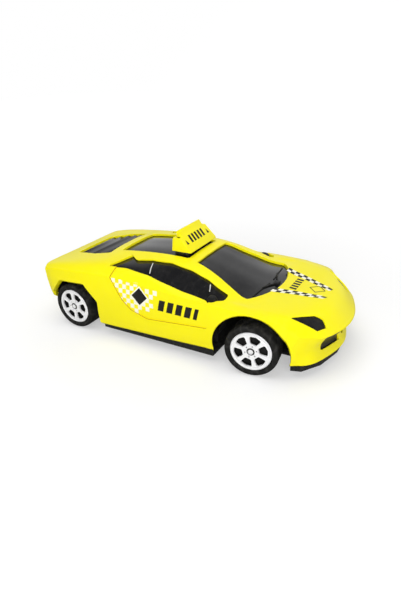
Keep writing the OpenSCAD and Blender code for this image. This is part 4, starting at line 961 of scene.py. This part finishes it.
def make_rim(name):
    """Silver face of a wheel with six windows, a dot below each and a dark hub."""
    wheels = bpy.context.scene.taxi_wheels
    rim, w = wheels.rim_r, wheels.tyre_w
    face, floor, edge = 0.97 * w, 0.88 * w, 0.12 * MM
    step, turned = math.pi / 6, math.radians(13 if "front" in name else 0)
    inner, outer = 0.40 * rim, 0.81 * rim
    outline = rounded([
        [inner, -0.15 * rim], [outer - 0.05 * rim, -0.30 * rim], [outer + 0.03 * rim, 0.0],
        [outer - 0.05 * rim, 0.30 * rim], [inner, 0.15 * rim]], 0.09 * rim)

    def field(places):
        angle = np.arctan2(places[:, 1], places[:, 0]) - turned
        local = (angle + step) % (2 * step) - step
        reach = np.hypot(places[:, 0], places[:, 1])
        x, y = reach * np.cos(local), reach * np.sin(local)
        dots = np.hypot(x - 0.29 * rim, y) - 0.045 * rim
        return np.minimum(outline_distance(np.stack([x, y], 1), outline), dots)

    def height(reach):
        lip = face - 0.5 * MM * np.clip((reach / rim - 0.93) / 0.07, 0, 1) ** 2
        bowl = 0.35 * MM * np.exp(-(((reach / rim - 0.88) / 0.035) ** 2))
        hub = 0.3 * MM * np.exp(-(((reach / rim - 0.195) / 0.018) ** 2))
        return lip - bowl - hub

    radii = np.concatenate([np.linspace(0.13, 0.93, 26), [0.95, 0.97, 0.985, 1.0]]) * rim
    turns = 144
    r, t = np.meshgrid(radii, np.arange(turns) * 2 * math.pi / turns, indexing="ij")
    flat = np.stack([(r * np.cos(t)).ravel(), (r * np.sin(t)).ravel()], 1)
    faces = []
    for low in range(0, (len(radii) - 1) * turns, turns):
        high = low + turns
        faces += [(low + k, high + k, high + (k + 1) % turns, low + (k + 1) % turns) for k in range(turns)]
    flat, faces, _ = split(flat, faces, field, edge)
    reach = np.hypot(flat[:, 0], flat[:, 1])
    tilt = -(height(reach + NUDGE) - height(reach - NUDGE)) / (2 * NUDGE)
    ways = flat / np.maximum(reach, 1e-9)[:, None]
    places = np.concatenate([flat, height(reach)[:, None]], 1)
    builder = Builder()
    front = builder.points(places, unit(np.concatenate([ways * tilt[:, None], np.ones((len(flat), 1))], 1)))
    for corners in faces:
        builder.add([corners], front, mark=int(np.mean(reach[list(corners)]) / rim < 0.19))
    grad = np.stack([field(flat + way) - field(flat - way) for way in NUDGE * np.eye(2)], 1)
    ends = (reach > 0.999 * rim) | (reach < 0.131 * rim)
    grad = np.where(ends[:, None], np.where(reach > 0.5 * rim, -1, 1)[:, None] * ways, unit(grad))
    grow = np.concatenate([grad, np.zeros((len(flat), 1))], 1)
    below, low, back = places - edge * grow - [0, 0, edge], places - edge * grow, places.copy()
    low[:, 2] = back[:, 2] = floor
    shoulder = builder.points(below, unit(-grow + [0, 0, 1]))
    wall_top, wall_low = builder.points(below, -grow), builder.points(low, -grow)
    edges = edges_of(faces)
    for i, j in edges:
        if (j, i) not in edges:
            builder.add([(front[i], shoulder[i], shoulder[j], front[j]),
                         (wall_top[i], wall_low[i], wall_low[j], wall_top[j])])
    builder.add(faces, builder.points(back, [0, 0, -1.0]), flip=True)
    cap_r, cap_z = 0.11 * rim, face - 0.5 * MM
    cap = [[cap_r * math.cos(a), cap_r * math.sin(a), cap_z] for a in np.arange(24) * math.pi / 12]
    builder.add([builder.points(np.array(cap), [0, 0, 1.0])])
    finishes, body = [finish("rim_silver"), finish("print_black")], NODES[name]["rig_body"]
    builder.make(name + "_face", finishes, body, "rim_silver", [name], wheel_frame(name))


def make_wells():
    """Black linings of the wheel openings, part of the chassis moulding."""
    width = body_sizes().width
    outer, inner = 0.86 * width / 2, 0.66 * width / 2
    near, far = -0.9 * MM, -0.9 * MM + 0.8 * MM
    turn = np.radians(np.linspace(8, 172, 40))
    front = np.stack([ARCH_X + ARCH_STRETCH * ARCH_R * np.cos(turn), AXLE_Z + ARCH_R * np.sin(turn)], 1)
    rear = hull(side_outline(REAR_ARCH_SHARES))
    rear = rear[rear[:, 1] > 20 * MM]
    rear = np.vstack([[rear[:, 0].max() + 0.6 * MM, 14 * MM], rear[np.argsort(-rear[:, 0])],
                      [rear[:, 0].min() - 0.6 * MM, 20 * MM]])
    builder = Builder()
    for line in (front, rear):
        out = unit(line - [line[:, 0].mean(), AXLE_Z])
        for side in SIDES:
            rows = []
            for reach, across, way in (
                (near, outer, -1), (near, inner, -1), (far, inner, 1), (far, outer, 1),
            ):
                spots, flat = line + reach * out, np.zeros(len(line))
                row = builder.points(np.stack([spots[:, 0], flat + side * across, spots[:, 1]], 1),
                                     way * np.stack([out[:, 0], flat, out[:, 1]], 1))
                rows.append(row if side == RIGHT else row[::-1])
            for low, high in zip(rows, rows[1:] + rows[:1]):
                builder.strip(low, high, closed=False)
    builder.make("wheel_wells", [finish("black_trim")], "car", "black_trim")


# Prints

def clip_cell(cell, outline):
    """Part of a flat cell within an outline without hollows."""
    shape = [np.asarray(p, float) for p in cell]
    for a, b in zip(outline, np.roll(outline, -1, 0)):
        edge, out = b - a, []
        for p, q in zip(shape, shape[1:] + shape[:1]):
            dp = edge[0] * (p[1] - a[1]) - edge[1] * (p[0] - a[0])
            dq = edge[0] * (q[1] - a[1]) - edge[1] * (q[0] - a[0])
            if dp >= 0:
                out.append(p)
            if (dp >= 0) != (dq >= 0):
                out.append(p + (q - p) * dp / (dp - dq))
        shape = out
        if len(shape) < 3:
            return []
    return shape


PRINT_CELL = 1.5 * MM
PRINT_LIFT = 0.04 * MM
# Chequers keep within this band of the door and clear of the diamond
DOOR_BAND = np.array([
    [-37.6, 42.4], [-29.0, 27.2], [-22.5, 24.8], [-9.5, 27.0], [-5.0, 40.4], [-20.0, 41.6],
]) * MM
DIAMOND_CENTRE, DIAMOND_CLEAR = np.array([-16.6, 34.9]) * MM, np.array([7.6, 7.4]) * MM
BAR_WIDTHS, BAR_HEIGHT = (4.2, 4.2, 4.2, 4.2, 2.6), 7.0
# Ends of the hood's two chequered stripes, along their near and far edges, in mm
STRIPES = (
    (((56.8, -13.9), (85.5, -6.6)), ((57.4, -8.1), (87.5, -2.9))),
    (((54.8, 17.6), (86.0, 5.2)), ((54.6, 23.4), (87.6, 8.6))),
)
STRIPE_COLUMNS = 11
HOOD_RING = np.array([[74.6, 3.4], [79.6, -1.5], [84.6, 3.4], [79.6, 8.3]]) * MM
SQUARE = np.array([[0, 0], [1, 0], [1, 1], [0, 1]])


def print_shape(builder, loft, outline, lift, mark, side=0):
    """Flat shape laid on the skin, drawn from above or from one side of the car."""
    outline = np.asarray(outline, float)
    area = np.sum(outline[:, 0] * np.roll(outline[:, 1], -1) - np.roll(outline[:, 0], -1) * outline[:, 1])
    if area < 0:
        outline = outline[::-1]
    low, high = outline.min(0), outline.max(0)
    nx, ny = (max(1, int(math.ceil((high[k] - low[k]) / PRINT_CELL))) for k in (0, 1))
    xs, ys = np.linspace(low[0], high[0], nx + 1), np.linspace(low[1], high[1], ny + 1)
    shapes = [clip_cell([(xs[i + di], ys[k + dk]) for di, dk in SQUARE], outline)
              for i in range(nx) for k in range(ny)]
    shapes = [s for s in shapes if len(s) > 2]
    uv = loft.drape(np.array([p for s in shapes for p in s]), side)
    normals = loft.normals(uv)
    index = builder.points(loft.at(uv) + lift * normals, normals)
    start = 0
    for s in shapes:
        builder.add([index[start:start + len(s)]], mark=mark, flip=side > 0)
        start += len(s)


def print_door(loft, side):
    """Chequers, a diamond and slanted bars on one door panel."""
    cell, depth = bpy.context.scene.taxi_looks.chequer, body_sizes().door_depth
    builder = Builder()
    for i in range(-5, 8):
        for k in range(-4, 5):
            spot = DIAMOND_CENTRE + np.array([i - 2.0, k - 0.5]) * cell
            apart = np.abs(spot - DIAMOND_CENTRE) / DIAMOND_CLEAR
            outside = outline_distance(spot[None], DOOR_BAND)[0] > 0.3 * cell
            if (i + k) % 2 == 0 and not outside and apart.sum() >= 0.9:
                print_shape(builder, loft, spot + (SQUARE - 0.5) * cell, 0.03 * MM - depth, 0, side)
    for wide, high, lift, mark in ((6.9, 6.7, 0.05, 0), (5.8, 5.6, 0.08, 1)):
        diamond = DIAMOND_CENTRE + np.array([[wide, 0], [0, high], [-wide, 0], [0, -high]]) * MM
        print_shape(builder, loft, diamond, lift * MM - depth, mark, side)
    lean = 1.6 * MM
    for k, width in enumerate(BAR_WIDTHS):
        x, width = (-3.2 + 6.2 * k) * MM, width * MM
        low, high = (28.6 - 0.12 * k) * MM, (28.6 - 0.12 * k + BAR_HEIGHT) * MM
        bar = [[x, low], [x + width, low], [x + width + lean, high], [x + lean, high]]
        print_shape(builder, loft, bar, 0.06 * MM - depth, 1, side)
    builder.make("door_print_" + SIDES[side], [finish("print_white"), finish("print_black")], "car", "yellow")


def print_hood(loft):
    """Chequered stripes, slanted bars and a diamond ring on the hood."""
    builder = Builder()
    for near, far in STRIPES:
        near, far = np.array(near) * MM, np.array(far) * MM
        for i in range(STRIPE_COLUMNS):
            for k in range(2):
                corners = []
                for di, dk in SQUARE:
                    t, s = (i + di) / STRIPE_COLUMNS, (k + dk) / 2
                    low, high = near[0] + t * (near[1] - near[0]), far[0] + t * (far[1] - far[0])
                    corners.append((1 - s) * low + s * high)
                print_shape(builder, loft, corners, PRINT_LIFT, (i + k) % 2)
    back, front = 64.6 * MM, 69.0 * MM
    for k in range(5):
        y = (-4.0 + 3.3 * k) * MM
        bar = [[back, y], [front, y - 0.5 * MM], [front, y + 1.5 * MM], [back, y + 2.0 * MM]]
        print_shape(builder, loft, bar, PRINT_LIFT, 1)
    middle = HOOD_RING.mean(0)
    inner = middle + 0.84 * (HOOD_RING - middle)
    for k in range(4):
        j = (k + 1) % 4
        print_shape(builder, loft, [HOOD_RING[k], HOOD_RING[j], inner[j], inner[k]], PRINT_LIFT, 1)
    builder.make("hood_print", [finish("print_white"), finish("print_black")], "car", "yellow")


def make_sign():
    """Roof sign with two small triangles and slanted bars on its front."""
    softened("roof_sign", 0.45 * MM, "yellow", 3)
    low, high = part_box("roof_sign")
    depth, height = high.x - low.x, high.z - low.z
    foot = np.array([high.x - 0.03 * depth, low.z + 0.1 * height])
    top = np.array([high.x - 0.57 * depth, low.z + 0.7 * height])
    way = unit(top - foot)
    lift = 0.05 * MM * np.array([way[1], 0, -way[0]])

    def on_face(y, share):
        spot = foot + share * (top - foot)
        return np.array([spot[0], y, spot[1]]) + lift

    builder = Builder()
    for y in (-12.6, 12.6):
        builder.flat([on_face((y - 1.2) * MM, 0.42), on_face((y + 1.2) * MM, 0.42), on_face(y * MM, 0.74)])
    for k in range(5):
        y = (-8.4 + 3.6 * k) * MM
        builder.flat([on_face(y, 0.40), on_face(y + 2.1 * MM, 0.40), on_face(y + 2.9 * MM, 0.92),
                      on_face(y + 0.8 * MM, 0.92)])
    builder.make("sign_print", [finish("print_black")], "car", "yellow")


# Stage

CAMERA_PLACE = (0.15097, -0.24762, 0.15952)
YAW, PITCH, ROLL = (math.radians(angle) for angle in (31.38, 26.44, -2.99))
LENS, SENSOR, CLIP_START = 28.153, 36, 0.005
LAMP_AIM = Vector((0, 0, 0.03))
FLOOR_HALF = 3
# The surround is brightest this way
BRIGHT_WAY = (0, 1, -0.6)


def make_floor(scene):
    """Pale floor that glows for the camera and fades into the background."""
    mesh = bpy.data.meshes.new("floor")
    corners = [(x * FLOOR_HALF, y * FLOOR_HALF, 0) for x, y in ((-1, -1), (1, -1), (1, 1), (-1, 1))]
    mesh.from_pydata(corners, [], [(0, 1, 2, 3)])
    floor = bpy.data.objects.new("floor", mesh)
    scene.collection.objects.link(floor)
    paper = bpy.data.materials.new("pale_floor")
    paper.use_nodes = True
    tree = paper.node_tree
    tree.nodes.clear()
    seen = node(tree, "ShaderNodeLightPath").outputs["Is Camera Ray"]
    where = node(tree, "ShaderNodeTexCoord").outputs["Object"]
    away = node(tree, "ShaderNodeVectorMath", {0: where}, operation="LENGTH").outputs["Value"]
    fade = node(tree, "ShaderNodeMapRange", {"Value": away},
                From_Min=0.1, From_Max=0.6, To_Min=0.38, To_Max=0.9)
    speck = node(tree, "ShaderNodeTexNoise", Scale=40.0).outputs[0]
    tone = node(tree, "ShaderNodeMapRange", {"Value": speck}, To_Min=0.62, To_Max=0.64)
    matt = node(tree, "ShaderNodeBsdfDiffuse", {"Color": tone.outputs[0]})
    glow = node(tree, "ShaderNodeEmission", {"Strength": math_node(tree, "MULTIPLY", seen, fade.outputs[0])})
    both = node(tree, "ShaderNodeAddShader", {0: matt.outputs[0], 1: glow.outputs[0]})
    node(tree, "ShaderNodeOutputMaterial", {0: both.outputs[0]})
    mesh.materials.append(paper)


def make_world(scene, strength):
    """Soft light that is brightest from the far side. The camera sees plain white."""
    world = bpy.data.worlds.new("studio")
    scene.world = world
    world.use_nodes = True
    tree = world.node_tree
    tree.nodes.clear()
    path = node(tree, "ShaderNodeLightPath").outputs
    plain = math_node(tree, "MAXIMUM", path["Is Camera Ray"], path["Is Transmission Ray"])
    where = node(tree, "ShaderNodeTexCoord").outputs["Generated"]
    way = node(tree, "ShaderNodeVectorMath", {0: where}, operation="DOT_PRODUCT")
    way.inputs[1].default_value = BRIGHT_WAY
    soft = node(tree, "ShaderNodeMapRange", {"Value": way.outputs["Value"]}, interpolation_type="SMOOTHSTEP",
                From_Min=-0.4, From_Max=0.9, To_Min=0.16 * strength, To_Max=1.4 * strength).outputs[0]
    level = math_node(tree, "MAXIMUM", plain, soft)
    sky = node(tree, "ShaderNodeBackground", {"Strength": level}, Color=WHITE)
    node(tree, "ShaderNodeOutputWorld", {0: sky.outputs[0]})


def make_lamps(scene, power):
    for name, place, size, share in (
        ("lamp_above", (-0.05, -0.15, 0.75), 0.7, 1.1),
        ("lamp_side", (0.45, -0.75, 0.35), 0.6, 1.9),
    ):
        lamp = bpy.data.lights.new(name, "AREA")
        lamp.size, lamp.energy = size, share * power
        holder = bpy.data.objects.new(name, lamp)
        holder.location = place
        holder.visible_glossy = False
        holder.rotation_euler = (LAMP_AIM - Vector(place)).to_track_quat("-Z", "Y").to_euler()
        scene.collection.objects.link(holder)


def make_camera(scene):
    """Camera that was fitted to the photograph."""
    camera = bpy.data.cameras.new("camera")
    camera.lens, camera.sensor_width, camera.clip_start = LENS, SENSOR, CLIP_START
    holder = bpy.data.objects.new("camera", camera)
    back = Vector((math.sin(YAW) * math.cos(PITCH), -math.cos(YAW) * math.cos(PITCH), math.sin(PITCH)))
    right = (-back).cross(Vector((0, 0, 1))).normalized()
    up = right.cross(-back)
    across = right * math.cos(ROLL) + up * math.sin(ROLL)
    upright = -right * math.sin(ROLL) + up * math.cos(ROLL)
    matrix = Matrix((across, upright, back)).transposed().to_4x4()
    matrix.translation = Vector(CAMERA_PLACE)
    holder.matrix_world = matrix
    scene.collection.objects.link(holder)
    scene.camera = holder


# Properties and operators

def metres(name, description, default):
    return bpy.props.FloatProperty(name=name, description=description, default=default, unit="LENGTH")


class TaxiBody(bpy.types.PropertyGroup):
    """Sizes of the body skin"""
    length: metres("Length", "Body from nose to tail", 0.2045)
    width: metres("Width", "Body across the rear flanks", 0.094)
    roof: metres("Roof", "Roof above the ground", 0.055)
    belt: metres("Belt", "Lower edge of the side windows at the front", 0.0396)
    wall: metres("Wall", "Wall of the shell", 0.0014)
    door_depth: metres("Door depth", "Door panels below the flank", 0.0008)
    edge_round: metres("Edge round", "Rounding of the openings", 0.0003)
    cell: metres("Cell", "Size of the skin's faces", 0.0009)


class TaxiWheels(bpy.types.PropertyGroup):
    """Sizes and places of the wheels"""
    tyre_r: metres("Tyre radius", "Outer radius of a tyre", 0.016)
    tyre_w: metres("Tyre width", "Width of a tyre", 0.014)
    rim_r: metres("Rim radius", "Outer radius of a rim", 0.0121)
    front: metres("Front axle", "Front axle along the car", 0.055726)
    rear: metres("Rear axle", "Rear axle along the car", -0.0742335)
    inner: metres("Inner face", "Inner face of a tyre from the middle", 0.032013)
    kingpin: metres("Kingpin", "Kingpin from the middle", 0.026513)
    parked_steer: bpy.props.FloatProperty(
        name="Parked steer", description="Turn of the parked front wheels", default=math.radians(8),
        subtype="ANGLE")
    ribs: bpy.props.IntProperty(name="Ribs", description="Ribs around a tyre", default=72)
    rib_depth: metres("Rib depth", "Depth between the ribs", 0.00022)


class TaxiLooks(bpy.types.PropertyGroup):
    """Colours, prints and lights"""
    paint: bpy.props.FloatVectorProperty(
        name="Paint", description="Yellow of the shell and the sign", default=PAINT, subtype="COLOR", size=3)
    chequer: metres("Chequer", "Size of a square on the doors", 0.0029)
    world: bpy.props.FloatProperty(name="Surround", description="Light from all around", default=0.72)
    key: bpy.props.FloatProperty(
        name="Main lamp", description="Power of the large lamp", default=3.3, unit="POWER")


class TAXI_OT_shell(bpy.types.Operator):
    """Makes the yellow shell with its openings and door panels"""
    bl_idname = "taxi.shell"
    bl_label = "Shell"

    def execute(self, context):
        make_shell()
        return {"FINISHED"}


class TAXI_OT_glazing(bpy.types.Operator):
    """Makes the dark glazing, wipers, mirrors and the seat of the sign"""
    bl_idname = "taxi.glazing"
    bl_label = "Glazing"

    def execute(self, context):
        make_glazing()
        return {"FINISHED"}


class TAXI_OT_trim(bpy.types.Operator):
    """Makes the louvres, lamps and grilles"""
    bl_idname = "taxi.trim"
    bl_label = "Lamps and louvres"

    def execute(self, context):
        make_trim()
        return {"FINISHED"}


class TAXI_OT_wheels(bpy.types.Operator):
    """Makes the tyres, rims and the linings of the wheel openings"""
    bl_idname = "taxi.wheels"
    bl_label = "Wheels"

    def execute(self, context):
        for end in ("front", "rear"):
            for side in SIDES.values():
                make_tyre(f"tyre_{end}_{side}")
                make_rim(f"rim_{end}_{side}")
        make_wells()
        return {"FINISHED"}


class TAXI_OT_sign(bpy.types.Operator):
    """Makes the roof sign and its print"""
    bl_idname = "taxi.sign"
    bl_label = "Roof sign"

    def execute(self, context):
        make_sign()
        return {"FINISHED"}


class TAXI_OT_prints(bpy.types.Operator):
    """Lays the chequers, diamonds and bars on the doors and the hood"""
    bl_idname = "taxi.prints"
    bl_label = "Prints"

    def execute(self, context):
        loft = Loft(0.0)
        for side in SIDES:
            print_door(loft, side)
        print_hood(loft)
        return {"FINISHED"}


class TAXI_OT_chassis(bpy.types.Operator):
    """Finishes the chassis and the pieces inside"""
    bl_idname = "taxi.chassis"
    bl_label = "Chassis and inner pieces"

    def execute(self, context):
        for name in ("chassis", "battery_door"):
            softened(name, 0.2 * MM, "black_trim")
        for name, solid in NODES.items():
            if not solid.hide_render:
                solid.data.materials.clear()
                solid.data.materials.append(finish(slot_of(name)))
        return {"FINISHED"}


class TAXI_OT_stage(bpy.types.Operator):
    """Sets the floor, the soft light and the camera"""
    bl_idname = "taxi.stage"
    bl_label = "Stage"

    def execute(self, context):
        scene, looks = context.scene, context.scene.taxi_looks
        scene.view_settings.view_transform = "Standard"
        make_floor(scene)
        make_world(scene, looks.world)
        make_lamps(scene, looks.key)
        make_camera(scene)
        return {"FINISHED"}


class TAXI_PT_panel(bpy.types.Panel):
    """Lists the steps that dress the toy taxi"""
    bl_label = "Toy taxi"
    bl_idname = "TAXI_PT_panel"
    bl_space_type = "VIEW_3D"
    bl_region_type = "UI"
    bl_category = "Toy taxi"

    def draw(self, context):
        for step in STEPS:
            self.layout.operator(step.bl_idname)


STEPS = (TAXI_OT_shell, TAXI_OT_glazing, TAXI_OT_trim, TAXI_OT_wheels, TAXI_OT_sign, TAXI_OT_prints,
         TAXI_OT_chassis, TAXI_OT_stage)
GROUPS = {"taxi_body": TaxiBody, "taxi_wheels": TaxiWheels, "taxi_looks": TaxiLooks}


def register():
    for kind in (*GROUPS.values(), *STEPS, TAXI_PT_panel):
        bpy.utils.register_class(kind)
    for name, kind in GROUPS.items():
        setattr(bpy.types.Scene, name, bpy.props.PointerProperty(type=kind))


def unregister():
    for name in GROUPS:
        delattr(bpy.types.Scene, name)
    for kind in (TAXI_PT_panel, *reversed(STEPS), *reversed(GROUPS.values())):
        bpy.utils.unregister_class(kind)


def main():
    register()
    for step in STEPS:
        group, name = step.bl_idname.split(".")
        getattr(getattr(bpy.ops, group), name)()


if __name__ == "__main__":
    main()
